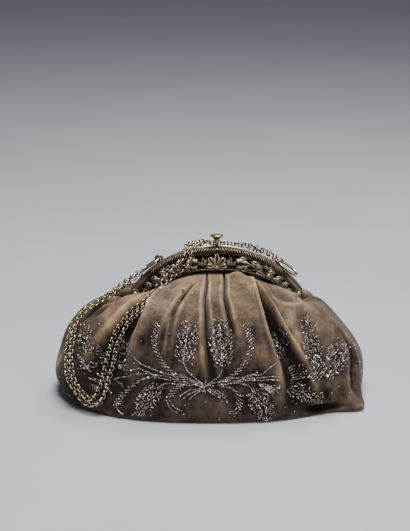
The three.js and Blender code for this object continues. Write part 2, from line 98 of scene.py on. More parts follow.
# Pouch, as in the solids: height in the middle, fall at the ends, half width, reach to the front and back,
# how far the centre line stands off, and how square the section is.
SECTION_KEYS = ("mid", "dip", "wide", "front", "back", "shift", "square")
SECTIONS = {
    "tuck": (115.3, 22.5, 57, 5.6, 5.6, 0, 5),
    "lip": (101.6, 24, 60, 5.6, 5.6, 0, 5),
    "puff": (97.6, 22, 72, 19, 17, -1.5, 3.4),
    "shoulder": (87, 11, 89, 41, 37, -6, 2.7),
    "upper": (67, 6, 106, 59, 53, -8, 2.5),
    "belly": (43, 4, 120.5, 70, 63, -6.5, 2.4),
    "low": (21, 1, 126.5, 74, 66, -6, 2.3),
    "foot": (6, 0, 123, 73, 65, -4.6, 2.3),
    "sole edge": (0, 0, 117, 69, 61, -4.6, 2.3),
    "sole": (0, 0, 62, 37, 33, -4.6, 2.2),
    "sole middle": (0, 0, 0, 0, 0, -4.6, 2.2),
}
SECTION_TABLE = np.array(list(SECTIONS.values()), float)
SOLE = 8.0
LAST = len(SECTIONS) - 1.0
DIP_POWER = 2.6

# The frame's lean is full above the first of these sections and gone below the second
LEAN_SECTIONS = (1.5, 4.5)

# Steps in turn and section that give the smooth pouch's slope
SMOOTH_STEP = (1.5, 0.05)

# Valleys: turn at the top, middle and foot, first and last section, half width there, depth, how square the
# bottom is, and the rise of the lips as a share of the depth.
FOLDS = {
    "slit left": (-8.4, -0.8, 2.4, 0.9, 6.1, 0.6, 1.8, 10, 2, 0.08),
    "slit right": (5, 7, 12.4, 0.9, 4.3, 0.6, 1.6, 9, 2, 0.04),
    "right gorge": (26, 33, 34.5, 1.2, 7.2, 0.2, 7.6, 17, 4, 0.09),
    "right side": (84, 68, 64, 3.9, 7.2, 2, 4, 7.5, 2, 0.15),
    "left gorge": (-38.5, -40.8, -42.5, 1.4, 6.8, 0.5, 14, 15, 3, 0.14),
    "left crease": (-11.5, -17, -18.5, 1.9, 5, 1.2, 2, 3, 2, 0.22),
    "left shoulder": (-52, -68, -78, 1.8, 3.9, 4, 7, 6, 2, 0.22),
    "left side": (-82, -86, -88, 2, 6, 5, 6, 5, 2, 0.22),
    "back right": (108, 106, 104, 1.6, 6.5, 4, 7, 8, 2, 0.22),
    "back right mid": (140, 136, 134, 1.6, 6.5, 4, 7, 9, 2, 0.22),
    "back middle": (172, 174, 175, 1.6, 5.5, 3, 6, 6, 2, 0.22),
    "back left mid": (214, 220, 222, 1.6, 6.5, 4, 7, 9, 2, 0.22),
    "back left": (248, 252, 254, 1.6, 6.5, 4, 7, 7, 2, 0.22),
}

# Swells and dents: turn, section, spread in degrees and in sections, and how far they stand out.
SWELLS = {
    "puff over the frame": (14.5, 1.68, 7, 0.26, 5.5),
    "small puff": (25, 1.75, 3.2, 0.22, 2.6),
    "puff left of the slits": (-24, 1.62, 13, 0.25, 1.2),
    "puff at the right": (50, 1.72, 11, 0.3, 5.5),
    "puff at the hinge": (65, 1.8, 7, 0.35, 4),
    "right shoulder": (52, 2.9, 14, 0.7, 3),
    "left shoulder": (-55, 2.6, 8, 0.6, 3),
    "left panel": (-20, 4, 16, 1.4, 3),
    "right panel": (18, 4.4, 12, 1.4, 3),
    "worn ridge": (-17.4, 3.9, 0.9, 0.5, 1.8),
    "crest ripple": (-11, 2.75, 2.2, 0.28, 1.4),
    "crest ripple below": (-14, 3.25, 2, 0.25, 1.2),
    "right corner": (64, 7.3, 9, 0.8, 15),
    "right hollow": (44, 6.95, 8, 0.36, -7),
    "hollow under the tail": (52, 7.1, 7, 0.24, -3.5),
    "ridge over the hollow": (46, 6.52, 8, 0.13, 1.6),
    "tail ridge": (48, 5.8, 2.2, 0.24, 1.5),
    "tail ridge below": (52, 6.2, 2.6, 0.26, 1.8),
    "tail valley": (46.8, 6.12, 2, 0.26, -2.4),
    "right end": (88, 5.3, 9, 0.4, 1.6),
}

# Pockets, where the cloth folds over: turn and section of the middle, half width in degrees and in sections,
# how far the floor stands off the smooth pouch, and the rise of the turned edge.
POCKETS = {
    "right shoulder": (46, 2.1, 11, 0.9, -1.6, 1.1),
    "under the puff": (16, 1.96, 8.5, 0.36, 0.4, 0.7),
}

# Patches of the pile, paler or darker: turn, section, spread in degrees and in sections, and how much paler
# they are. The rubbed spots and the rubbed ridge are marks of use. The left end, the left panel, the pocket
# and the patch under the tail are painted shade; the left fold, the left gorge and the right of the gorge
# are painted light.
MARKS_AND_PAINTED_SHADING = {
    "rubbed spot": (-16.2, 2.58, 0.7, 0.07, -0.55),
    "rubbed spot below": (-14.1, 2.79, 0.9, 0.11, -0.55),
    "dark patch": (-27.8, 4.16, 1.8, 0.14, -0.35),
    "rubbed ridge": (-17.4, 4.05, 0.7, 0.4, 0.25),
    "left fold": (-55, 3.3, 9, 0.6, 0.14),
    "left end": (-67, 6.4, 16, 1.1, -0.3),
    "left panel": (-21, 3.9, 7, 0.5, -0.17),
    "band between the slits": (2, 2.6, 4, 0.9, -0.1),
    "right shoulder": (56, 3.2, 10, 0.6, 0.06),
    "right of the gorge": (41.5, 4.1, 4, 0.9, 0.3),
    "pocket": (46, 2.3, 8, 0.5, -0.12),
    "low middle": (0, 6.3, 14, 0.6, 0.05),
    "right panel": (17, 2.5, 8, 0.6, -0.09),
    "left gorge": (-45, 5, 9, 1.2, 0.14),
    "under the tail": (47, 6.98, 9, 0.26, -0.4),
    "right side": (78, 5.3, 5, 0.5, -0.35),
}

# Sections over which lips, swells and folds come clear of the frame, and over which folds turn to push level
LIPS_CLEAR = (1.4, 2.0)
SWELLS_CLEAR = (1.2, 1.5)
FOLDS_CLEAR = (1.0, 1.5)
LEVEL_SECTIONS = (6.0, 7.4)
SOLE_FADE = 0.9

# Valleys: shares of the length where they are full and where they fade, and the place and spread of the lips
FOLD_FULL = 0.25
FOLD_FADES = 0.6
LIP_OFF = 1.8
LIP_SPREAD = 1.4

# A pocket's outline is a squared oval: its power; and as shares of its size, where its wall starts and ends,
# the place and spread of its turned edge, and how far down the edge and the hollow are full.
POCKET_POWER = 2.6
POCKET_WALL = (0.62, 1.04)
POCKET_EDGE = 1.09
EDGE_SPREAD = 0.09
EDGE_FULL = 0.8
POCKET_OPEN = 0.3

# Gathers at the mouth: waves round it, how far and how often these wander, finer waves and their share,
# the rise, and the sections where they begin, are full and end.
GATHER_WAVES = 17
GATHER_WANDER = 40
WANDER_WAVES = 3
FINE_WAVES = 29
FINE_SHARE = 0.6
GATHER_RISE = 0.35
GATHER_SECTIONS = (1.4, 1.9, 3.6)

# Narrowest half width of a fold in degrees: on the face, where the cloth is taken coarsely, and under beads
NARROWEST = 0.7
COARSE = 3.0
UNDER_BEADS = 2.5

# Columns and rows of the pouch's outer grid, closest in the pleats: from, to and how many
COLUMNS = (
    (-100, -60, 36),
    (-60, -25, 62),
    (-25, -8, 34),
    (-8, 14, 92),
    (14, 26, 26),
    (26, 40, 58),
    (40, 80, 60),
    (80, 100, 20),
    (100, 260, 76),
)
LEVELS = ((0, 1.4, 5), (1.4, 3.2, 56), (3.2, 5.5, 47), (5.5, SOLE, 34), (SOLE, LAST, 6))

# Tone of the pile, from 0 dark to 1 pale: its base, what height, ridges and folds add, what close beads and
# valleys take away, the height and depth that count in full, the steps that show a ridge, and where the
# frame's shade ends. Paling with height is painted top light with some sunned fading, paling on ridges and
# raised folds is painted highlight, and darkening in valleys, among close beads and under the frame is
# painted shade.
TONE_BASE = 0.31
TONE_HEIGHT = 0.32
TONE_RIDGE = 0.12
TONE_FOLD = 0.012
TONE_BEADS = 0.2
TONE_VALLEY = 0.4
FULL_HEIGHT = 100.0
FULL_DEPTH = 9.0
RIDGE_ASIDE = 1.6
RIDGE_DOWN = 0.08
TONE_CLEAR = (0.95, 1.35)
SOLE_TONE = 0.5
LINING_TONE = 0.3


# Numbers and colours


def smooth(x, low, high):
    """Rises from 0 at low to 1 at high with level ends: 3t squared less 2t cubed."""
    t = np.clip((x - low) / (high - low), 0, 1)
    return t * t * (3 - 2 * t)


def unit(vectors):
    """Vectors scaled to length one; a zero vector stays zero."""
    return vectors / np.maximum(np.linalg.norm(vectors, axis=-1, keepdims=True), 1e-9)


def linear(hex_colour, alpha=1.0):
    """An sRGB hex colour as linear red, green, blue and alpha."""
    parts = [int(hex_colour[i : i + 2], 16) / 255 for i in (1, 3, 5)]
    return [p / 12.92 if p <= 0.04045 else ((p + 0.055) / 1.055) ** 2.4 for p in parts] + [alpha]


# Meshes


def grid_faces(rows, cols, close_rows=False, close_cols=False):
    """Quads of a grid of points, facing the way of a step down the rows crossed with a step along them."""
    r = np.arange(rows if close_rows else rows - 1)[:, None]
    c = np.arange(cols if close_cols else cols - 1)[None, :]
    r2, c2 = (r + 1) % rows, (c + 1) % cols
    return np.stack([r * cols + c, r2 * cols + c, r2 * cols + c2, r * cols + c2], -1).reshape(-1, 4)


def fan_faces(tip, ring, forward):
    """Triangles from a tip to a closed ring of point numbers, marked by -1 as their fourth corner."""
    ahead = np.roll(ring, -1)
    near, far = (ring, ahead) if forward else (ahead, ring)
    tips = np.full_like(ring, tip)
    return np.stack([tips, near, far, np.full_like(ring, -1)], -1)


def tipped_grid(points, wear_and_painted_light):
    """A grid closed along its columns whose first and last rows are single points: quads and two fans."""
    rows, cols = points.shape[:2]
    middle = points[1:-1].reshape(-1, 3)
    body = grid_faces(rows - 2, cols, close_cols=True)
    count = len(middle)
    ring = np.arange(cols)
    faces = [body, fan_faces(count, ring, True), fan_faces(count + 1, ring + count - cols, False)]
    tips = np.stack([points[0].mean(0), points[-1].mean(0)])
    worn = np.concatenate([wear_and_painted_light[1:-1].ravel(), [wear_and_painted_light[0].mean(), wear_and_painted_light[-1].mean()]])
    return np.concatenate([middle, tips]), np.concatenate(faces), worn


def joined(shapes):
    """Several shapes as one: their points, their faces renumbered, and their wear."""
    points, faces, wear_and_painted_light = zip(*shapes)
    starts = np.cumsum([0] + [len(part) for part in points])
    renumbered = [np.where(part < 0, -1, part + start) for part, start in zip(faces, starts)]
    return np.concatenate(points), np.concatenate(renumbered), np.concatenate(wear_and_painted_light)


def turned_over(shape):
    """A mirrored shape with its faces turned to point outwards again."""
    points, faces, wear_and_painted_light = shape
    quads = faces[:, ::-1]
    thirds = faces[:, [2, 1, 0, 3]]
    return points, np.where(faces[:, 3:] < 0, thirds, quads), wear_and_painted_light


def put_piece(name, shape, material, body, nodes=(), rounded=True):
    """Puts a shape in mm into a mesh object at the origin, its wear an attribute, and on a body."""
    points, faces, wear_and_painted_light = shape
    quads = faces[faces[:, 3] >= 0].tolist()
    thirds = faces[faces[:, 3] < 0][:, :3].tolist()
    mesh = bpy.data.meshes.new(name)
    mesh.from_pydata((points * MM).tolist(), [], quads + thirds)
    # The wear attribute holds real wear on metal, and also painted light and shade: the velvet's tone, the
    # insides of chain rings and the tops of the loops
    mesh.attributes.new("wear_and_painted_light", "FLOAT", "POINT").data.foreach_set("value", wear_and_painted_light.astype(np.float32))
    mesh.polygons.foreach_set("use_smooth", np.full(len(mesh.polygons), rounded))
    mesh.materials.append(material)
    mesh.update()
    piece = bpy.data.objects.new(name, mesh)
    bpy.context.scene.collection.objects.link(piece)
    if body:
        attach(piece, body)
    if nodes:
        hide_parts(*nodes)
    return piece


# Profiles carried along paths


def circle(count):
    """Angles of one full turn in even steps, its end left out."""
    return np.linspace(0, 2 * np.pi, count, endpoint=False)


def spokes(turn, first, second):
    """Unit vectors about each pair of axes: cosine of the turn along the first, sine along the second."""
    return np.cos(turn)[None, :, None] * first[:, None] + np.sin(turn)[None, :, None] * second[:, None]


def walked(line):
    """Distance along a line of points, from 0 at the first."""
    return np.concatenate([[0], np.cumsum(np.linalg.norm(np.diff(line, axis=0), axis=1))])


def read_at(places, walk, line):
    """The line's values at some distances along it, each column read off evenly between its points."""
    return np.stack([np.interp(places, walk, column) for column in line.T], -1)


def bar(path, radius, across, sides=8, wear_and_painted_light=0.7):
    """A round bar: a circle carried along a path, in the plane of `across` and of its cross with the path.

    The radius may be one number or one for each point, and both ends close to a point.
    """
    way = unit(np.gradient(path, axis=0))
    first = unit(np.broadcast_to(across, path.shape))
    second = unit(np.cross(way, first))
    first = np.cross(second, way)
    reach = np.broadcast_to(radius, len(path))[:, None, None]
    points = path[:, None] + reach * spokes(circle(sides), first, second)
    near, far = (np.repeat(end[None], sides, 1) for end in (path[:1], path[-1:]))
    points = np.concatenate([near, points, far])
    return turned_over(tipped_grid(points, np.full(points.shape[:2], wear_and_painted_light)))


def turning(profile, sides, wear_and_painted_light):
    """A turned piece about +Z: pairs of radius and height from top to bottom, carried round the axis."""
    turn = circle(sides)
    radius, height = np.array(profile, float).T[:, :, None]
    points = np.stack(np.broadcast_arrays(radius * np.cos(turn), radius * np.sin(turn), height), -1)
    return tipped_grid(points, np.broadcast_to(np.array(wear_and_painted_light, float)[:, None], points.shape[:2]))


def rings(centres, flat, ahead, radius, wire, around, sides):
    """Closed wire rings, one at each centre: a small circle carried round a large one.

    A point is the centre plus (radius + wire cos b)(cos a ahead + sin a beside) + wire sin b flat, where
    beside is flat crossed with ahead. Wear is 1 on the outside of the wire and 0 inside the ring, which
    stands for tarnish and for painted shade where the linked rings meet.
    """
    a, b = circle(around), circle(sides)
    spoke = spokes(a, ahead, np.cross(flat, ahead))
    out = (radius + wire * np.cos(b))[None, None, :, None]
    points = centres[:, None, None] + out * spoke[:, :, None]
    points = points + (wire * np.sin(b))[None, None, :, None] * flat[:, None, None]
    starts = np.arange(len(centres)) * around * sides
    faces = starts[:, None, None] + grid_faces(around, sides, True, True)[None]
    # Painted shade with tarnish: darker inside each ring, where the next ring passes
    wear_and_painted_light = np.broadcast_to(0.5 + 0.5 * np.cos(b), points.shape[:3])
    return points.reshape(-1, 3), faces.reshape(-1, 4), wear_and_painted_light.ravel()


def beads(centres, radius, sides, levels, wear_and_painted_light=0.8, turns=None):
    """Small balls: each a sphere of a few sides, at the centres, with the given radius or radii.

    turns may give each ball three axes of its own.
    """
    up = np.linspace(0, np.pi, levels + 2)
    points, faces, _ = turning(np.stack([np.sin(up), np.cos(up)], -1), sides, np.zeros(len(up)))
    reach = np.broadcast_to(radius, len(centres))[:, None, None]
    placed = points[None] if turns is None else np.einsum("pk,nkc->npc", points, turns)
    moved = centres[:, None] + reach * placed
    starts = (np.arange(len(centres)) * len(points))[:, None, None]
    renumbered = np.where(faces[None] < 0, -1, faces[None] + starts)
    worn = np.repeat(np.broadcast_to(wear_and_painted_light, len(centres)), len(points))
    return moved.reshape(-1, 3), renumbered.reshape(-1, 4), worn


# Pouch


def leaned(points, share=1.0):
    """Points turned about the hinge line by the frame's lean times a share, top to the back."""
    angle = np.radians(FRAME_LEAN) * share
    up = points[..., 2] - HINGE_HEIGHT
    y = points[..., 1] * np.cos(angle) + up * np.sin(angle)
    z = up * np.cos(angle) - points[..., 1] * np.sin(angle)
    return np.stack([points[..., 0], y, z + HINGE_HEIGHT], -1)


def section_value(key, v):
    """One column of the section table at v: a cubic between rows, with slopes that never overshoot."""
    values = SECTION_TABLE[:, SECTION_KEYS.index(key)]
    step = np.diff(values)
    product = step[:-1] * step[1:]
    total = np.where(product > 0, step[:-1] + step[1:], 1)
    slope = np.concatenate([[0], np.where(product > 0, 2 * product / total, 0), [0]])
    i = np.clip(np.floor(v).astype(int), 0, len(values) - 2)
    t = v - i
    start = values[i] * (2 * t**3 - 3 * t**2 + 1) + slope[i] * (t**3 - 2 * t**2 + t)
    return start + values[i + 1] * (3 * t**2 - 2 * t**3) + slope[i + 1] * (t**3 - t**2)


def base_point(turn, v):
    """The pouch without folds: a squared oval for each section, with low ends and a leaning top."""
    sine = np.sin(np.radians(turn))
    square = section_value("square", v)
    bow = np.maximum(1 - np.abs(sine) ** square, 0) ** (1 / square)
    front = np.cos(np.radians(turn)) >= 0
    reach = np.where(front, -section_value("front", v), section_value("back", v))
    x = section_value("shift", v) + section_value("wide", v) * sine
    z = section_value("mid", v) - section_value("dip", v) * np.abs(sine) ** DIP_POWER
    return leaned(np.stack([x, reach * bow, z], -1), 1 - smooth(v, *LEAN_SECTIONS))


def face_normal(surface, turn, v, aside, down):
    """Outward normal of a surface at a turn and section: a step down crossed with a step around."""
    around = surface(turn + aside, v) - surface(turn - aside, v)
    fall = surface(turn, np.minimum(v + down, LAST)) - surface(turn, np.maximum(v - down, 0))
    return unit(np.cross(fall, around))


def base_normal(turn, v):
    """Outward normal of the smooth pouch, which is straight down on the sole."""
    normal = face_normal(base_point, turn, v, *SMOOTH_STEP)
    return np.where((v >= SOLE)[..., None], np.array([0.0, 0.0, -1.0]), normal)


def bearing(start, turn):
    """Angle from one turn to another, from -180 to 180."""
    return (turn - start + 180) % 360 - 180


def bell(turn, v, middle, down, spread, tall):
    """A bell about a turn and a section: the exponential of less its squared distances, 1 at its middle."""
    return np.exp(-((bearing(middle, turn) / spread) ** 2) - ((v - down) / tall) ** 2)


def fold_height(turn, v, narrowest, lipped=1.0):
    """How far the cloth stands off the smooth pouch.

    A valley is a sunken bell across its line, squarer with a higher power, with a raised lip on each side.
    It grows from its first section and fades to its last. A swell is a bell both ways. A pocket draws
    the cloth to its floor inside a squared oval and turns up its lower edge. Near the mouth small gathers
    ripple round.
    """
    height = np.zeros(np.broadcast(turn, v).shape)
    clear = smooth(v, *LIPS_CLEAR) * lipped
    for top, mid, foot, start, end, thin, wide, deep, power, lips in FOLDS.values():
        share = (v - start) / (end - start)
        centre = np.interp(share, (0, 0.5, 1), (top, mid, foot))
        half = np.maximum(thin + (wide - thin) * np.clip(share, 0, 1), narrowest)
        x = np.abs(bearing(centre, turn) / half)
        lip = np.exp(-(((x - 1 - LIP_OFF / power) * power / LIP_SPREAD) ** 2)) * clear
        grow = smooth(share, 0, FOLD_FULL) * (1 - smooth(share, FOLD_FADES, 1))
        height = height + deep * grow * (lips * lip - np.exp(-(x**power)))
    for *place, out in SWELLS.values():
        height = height + out * smooth(v, *SWELLS_CLEAR) * bell(turn, v, *place)
    for middle, down, spread, tall, floor, rise in POCKETS.values():
        across = np.abs(bearing(middle, turn) / spread)
        along = np.abs((v - down) / tall)
        edge = (across**POCKET_POWER + along**POCKET_POWER) ** (1 / POCKET_POWER)
        turned = rise * np.exp(-(((edge - POCKET_EDGE) / EDGE_SPREAD) ** 2))
        turned = turned * smooth(v, down, down + EDGE_FULL * tall)
        inside = (1 - smooth(edge, *POCKET_WALL)) * smooth(v, down - tall, down + POCKET_OPEN * tall)
        height = height + turned + (floor - height) * inside
    wander = GATHER_WANDER * np.sin(np.radians(turn * WANDER_WAVES))
    gathers = np.sin(np.radians(turn * GATHER_WAVES + wander))
    gathers = gathers + FINE_SHARE * np.sin(np.radians(turn * FINE_WAVES))
    begin, full, end = GATHER_SECTIONS
    height = height + GATHER_RISE * gathers * smooth(v, begin, full) * (1 - smooth(v, full, end))
    return height * smooth(v, *FOLDS_CLEAR) * (1 - smooth(v, SOLE, SOLE + SOLE_FADE))


def pouch_point(turn, v, out=0.0, narrowest=NARROWEST, lipped=1.0):
    """Cloth at a turn and section, `out` off its face; near the table folds push level and nothing sinks."""
    turn, v = np.broadcast_arrays(np.asarray(turn, float), np.asarray(v, float))
    base = base_point(turn, v)
    normal = base_normal(turn, v)
    from_middle = base - base_point(np.zeros_like(turn), np.full_like(v, LAST))
    push = np.where((v >= SOLE)[..., None], from_middle, normal)
    push[..., 2] = push[..., 2] * (1 - smooth(v, *LEVEL_SECTIONS))
    point = base + unit(push) * fold_height(turn, v, narrowest, lipped)[..., None]
    point = point + normal * np.asarray(out)[..., None]
    point[..., 2] = np.maximum(point[..., 2], np.maximum(-np.asarray(out), 0))
    return point


def velvet_tone(turn, v, height, close):
    """How pale the pile is, from 0 to 1.

    It pales with height, as painted top light with some sunned fading, and on ridges, which stand above
    the cloth beside them, as painted highlight. It darkens as painted shade in valleys, between close beads
    and under the frame. Marks of use and patches of painted light and shade are bells in both directions.
    """
    fold = fold_height(turn, v, NARROWEST)
    steps = ((RIDGE_ASIDE, 0.0), (-RIDGE_ASIDE, 0.0), (0.0, RIDGE_DOWN), (0.0, -RIDGE_DOWN))
    beside = sum(fold_height(turn + aside, v + down, NARROWEST) for aside, down in steps)
    ridge = np.clip(2 * fold - 0.5 * beside, -2, 2)
    valley = np.clip(-fold / FULL_DEPTH, 0, 1)
    # Painted light high up, on ridges and on raised folds; painted shade among close beads and in valleys
    tone = TONE_BASE + TONE_HEIGHT * np.clip(height / FULL_HEIGHT, 0, 1) ** 3
    tone = tone + TONE_RIDGE * ridge + TONE_FOLD * np.clip(fold, -4, 6)
    tone = tone - TONE_BEADS * close - TONE_VALLEY * valley
    for *place, paler in MARKS_AND_PAINTED_SHADING.values():
        tone = tone + paler * bell(turn, v, *place)
    return np.clip(tone, 0, 1) * smooth(v, *TONE_CLEAR)


def stretches(*spans):
    """Values over several stretches: (from, to, how many) each, with the next one's start left to it."""
    return np.concatenate([np.linspace(a, b, n, endpoint=False) for a, b, n in spans])


def bowl(rows, cols, start, outwards):
    """Faces of a bowl numbered from start: quads between its rings, and a fan from the last to a point."""
    count = rows * cols
    quads = grid_faces(rows, cols, close_cols=True) + start
    last = np.arange(count - cols, count) + start
    fan = fan_faces(start + count, last, not outwards)
    return np.concatenate([quads if outwards else quads[:, ::-1], fan])


def pouch_shape(wall, sewn_turn, sewn_v):
    """The cloth wall: an outer grid, an inner one of half its rows and columns, and a strip at the mouth."""
    turns = stretches(*COLUMNS)
    levels = np.append(stretches(*LEVELS), LAST)
    outer_turns, outer_levels = turns[None, :], levels[:, None]
    outer = pouch_point(outer_turns, outer_levels)
    inner = pouch_point(turns[None, ::2], levels[::2, None], -wall, narrowest=COARSE, lipped=0.0)
    mirrored = np.where(np.abs(bearing(0, outer_turns)) > 90, 180 - outer_turns, outer_turns)
    place = np.broadcast_arrays(bearing(0, mirrored), outer_levels)
    close = bead_density(*place, sewn_turn, sewn_v)
    # The pile's tone, with its painted light and shade, goes to the cloth as its wear attribute
    tones = velvet_tone(outer_turns, outer_levels, outer[..., 2], close)
    rows, cols = len(outer) - 1, len(turns)
    inner_rows, half = len(inner) - 1, cols // 2
    start = rows * cols + 1
    k = np.arange(half)
    o0, o1, o2 = 2 * k, 2 * k + 1, (2 * k + 2) % cols
    i0, i1 = start + k, start + (k + 1) % half
    none = np.full(half, -1)
    strip = ((o0, o1, i0, none), (o1, i1, i0, none), (o1, o2, i1, none))
    mouth = [np.stack(corners, -1) for corners in strip]
    faces = np.concatenate([bowl(rows, cols, 0, True), bowl(inner_rows, half, start, False), *mouth])
    parts = [(side[:-1].reshape(-1, 3), side[-1, :1]) for side in (outer, inner)]
    points = np.concatenate([*parts[0], *parts[1]])
    wear_and_painted_light = np.concatenate([tones[:-1].ravel(), [SOLE_TONE], np.full(inner_rows * half + 1, LINING_TONE)])
    return points, faces, wear_and_painted_light


# Frame


def panel_radius(angle):
    """Lower edge of the frame, from the arc's centre: high at the crown and lower towards the hinges."""
    return FRAME_RADIUS - PANEL_MID_HEIGHT + PANEL_END_LOSS * (np.abs(angle) / FRAME_SPAN) ** 1.5


def arc_point(angle, radius, depth):
    """A point of the upright frame: its angle from the crown, distance from the arc's centre and depth."""
    turn = np.radians(angle)
    x = radius * np.sin(turn)
    z = FRAME_RISE - FRAME_RADIUS + radius * np.cos(turn)
    x, y, z = np.broadcast_arrays(x, np.asarray(depth, float), z)
    return np.stack([x, y, z], -1)


def set_up(points):
    """Points of the upright frame, set on the hinge line and leaned back."""
    return leaned(points + np.array([0.0, 0.0, HINGE_HEIGHT]))


def stood(shape):
    """A shape of the upright frame, set on the hinge line and leaned back."""
    points, faces, wear_and_painted_light = shape
    return set_up(points), faces, wear_and_painted_light


# From the front to the back, the way that the frame's bars lie flat
DEPTHWAYS = np.array([0.0, 1.0, 0.0])

# Section of the rim: depth and distance in from the arc
RIM_EDGE = (
    (PARTING_GAP, 0.9),
    (1.4, 0),
    (5.0, 0.3),
    (7.0, 1.0),
    (RIM_FRONT, 2.2),
    (RIM_FRONT, 3.4),
    (6.8, RIM_HEIGHT),
    (PARTING_GAP, RIM_HEIGHT),
)

# Strokes on the rim: slant, sharpness of the grooves, and angles where they fade and where the rim is bright
STROKE_SLANT = 0.34
GROOVE_POWER = 0.6
STROKES_END = (37, 41)
BRIGHT_STARTS = (40, 46)
RIM_STEPS = 640

# Wear of the rim where it is plain, what its bright ends add, and on a stroke's crest and in its groove
PLAIN_WEAR = 0.32
BRIGHT_WEAR = 0.34
CREST_WEAR = 0.74
GROOVE_WEAR = 0.1

# Wire along the top of the rim: distance in from the arc, depth and radius
WIRE_IN = 0.2
WIRE_DEPTH = 1.6
RIM_WIRE = 0.6


def rim_shape(stroke, rise):
    """The rim: its section carried along the arc, with a border of slanting leaf strokes on its front edge.

    A stroke's height is a root of a cosine of the distance along the arc plus a slant down the face, so the
    grooves are sharp. The slant changes side at the crown, and the strokes fade towards the hinges.
    """
    corners = np.array(RIM_EDGE + RIM_EDGE[:1], float)
    length = walked(corners)
    top, foot = length[1], length[6]
    along = stretches((0, top, 3), (top, foot, 28), (foot, length[-1], 8))
    section = read_at(along, length, corners)
    edge = np.gradient(np.concatenate([section[-1:], section, section[:1]]), axis=0)[1:-1]
    out = unit(np.stack([-edge[:, 1], edge[:, 0]], -1))
    out = out * np.sign(np.sum(out * (section - section.mean(0)), 1, keepdims=True))
    face = smooth(along, top + 0.6, top + 1.4) * (1 - smooth(along, length[5], foot - 0.2))
    angles = np.linspace(-FRAME_SPAN, FRAME_SPAN, RIM_STEPS)
    window = face[None] * (1 - smooth(np.abs(angles), *STROKES_END))[:, None]
    walk = np.radians(np.abs(angles))[:, None] * FRAME_RADIUS / stroke
    wave = np.abs(np.cos(np.pi * (walk - STROKE_SLANT * (along - length[3])[None]))) ** GROOVE_POWER
    height = (wave - 0.5) * rise * window
    front = section[:, 0] + height * out[:, 0]
    inward = section[:, 1] + height * out[:, 1]
    points = arc_point(angles[:, None], FRAME_RADIUS - inward, -front)
    plain = PLAIN_WEAR + BRIGHT_WEAR * smooth(np.abs(angles), *BRIGHT_STARTS)[:, None]
    worn = plain * (1 - window) + (CREST_WEAR * wave**2 - GROOVE_WEAR) * window
    points = np.concatenate([points[:1], points, points[-1:]])
    worn = np.pad(worn, ((1, 1), (0, 0)), constant_values=0.5)
    wire = arc_point(angles[::4], FRAME_RADIUS - WIRE_IN, -WIRE_DEPTH)
    return joined([turned_over(tipped_grid(points, worn)), bar(wire, RIM_WIRE, DEPTHWAYS, wear_and_painted_light=0.85)])


# Leaves: how blunt their ends are, depth of a notch, where the edge is raised, and how far forward they sit
LEAF_POINT = 0.75
LEAF_NOTCH = 0.16
LEAF_EDGE = (0.08, 0.62)
LEAF_SEAT = PANEL_BACK + 0.7

# Section of a leaf: lift of its sunken middle, what its edge adds, and its back; and the wear of the three
LEAF_LIFT = (0.55, 0.6, 0.35)
LEAF_WEAR = (0.2, 0.8, 0.15)

# Scrolls: steps in a turn, angle of the outer end, how much the radius and the wire lose on the way in, and
# the depth of the outer end and how much further forward the inner one stands
CURL_STEPS = 26
CURL_START = 200
CURL_LOSS = 0.82
WIRE_LOSS = 0.45
CURL_DEPTH = PANEL_BACK + 1.1
CURL_FORWARD = 0.5


def leaf_shape(angle, rise, length, width, tilt, bend, dome, full=0.5, notches=0):
    """A cast leaf in the panel: an oval section carried along a bending line, pointed at both ends.

    Half its width is the sine of a power of the way along, which sets how far out it is fullest, and may be
    notched. Its front swells by `dome` with raised edges and a sunken middle, and its back is nearly flat.
    """
    s = np.linspace(0, 1, 22)
    heading = np.radians(angle + tilt + bend * s)
    step = np.stack([np.sin(heading), np.zeros_like(s), np.cos(heading)], -1) * length / (len(s) - 1)
    start = arc_point(angle, panel_radius(angle) + rise, 0.0)
    line = start + np.cumsum(step, 0) - step
    aside = np.stack([np.cos(heading), np.zeros_like(s), -np.sin(heading)], -1)
    power = math.log(0.5) / math.log(full)
    swell = np.sin(np.pi * s**power) ** LEAF_POINT
    half = 0.5 * width * swell * (1 + LEAF_NOTCH * np.cos(2 * np.pi * notches * s) * (notches > 0))
    turn = stretches((0, np.pi, 16), (np.pi, 2 * np.pi, 5))
    raised = smooth(np.abs(np.cos(turn)), *LEAF_EDGE)
    middle, edge, back = LEAF_LIFT
    lift = np.where(np.sin(turn) > 0, np.sin(turn) * (middle + edge * raised), back * np.sin(turn))
    depth = -LEAF_SEAT - dome * swell[:, None] * lift[None]
    points = line[:, None] + aside[:, None] * (half[:, None] * np.cos(turn))[..., None]
    points[..., 1] = depth
    middle, edge, back = LEAF_WEAR
    wear_and_painted_light = np.where(np.sin(turn) > 0, middle + edge * raised, back) * np.ones_like(depth)
    return tipped_grid(points, wear_and_painted_light)


def curl_shape(angle, rise, radius, turns, wire, side):
    """A scroll: a bar that winds inwards, its radius falling evenly with the turn, and thickest outside."""
    t = np.linspace(0, 1, int(CURL_STEPS * turns))
    centre = arc_point(angle, panel_radius(angle) + rise, -CURL_DEPTH)
    wind = side * 2 * np.pi * turns * t + np.radians(CURL_START)
    reach = radius * (1 - CURL_LOSS * t)
    path = centre + np.stack([reach * np.cos(wind), -CURL_FORWARD * t, reach * np.sin(wind)], -1)
    return bar(path, wire * (1 - WIRE_LOSS * t), DEPTHWAYS, sides=7, wear_and_painted_light=0.75)


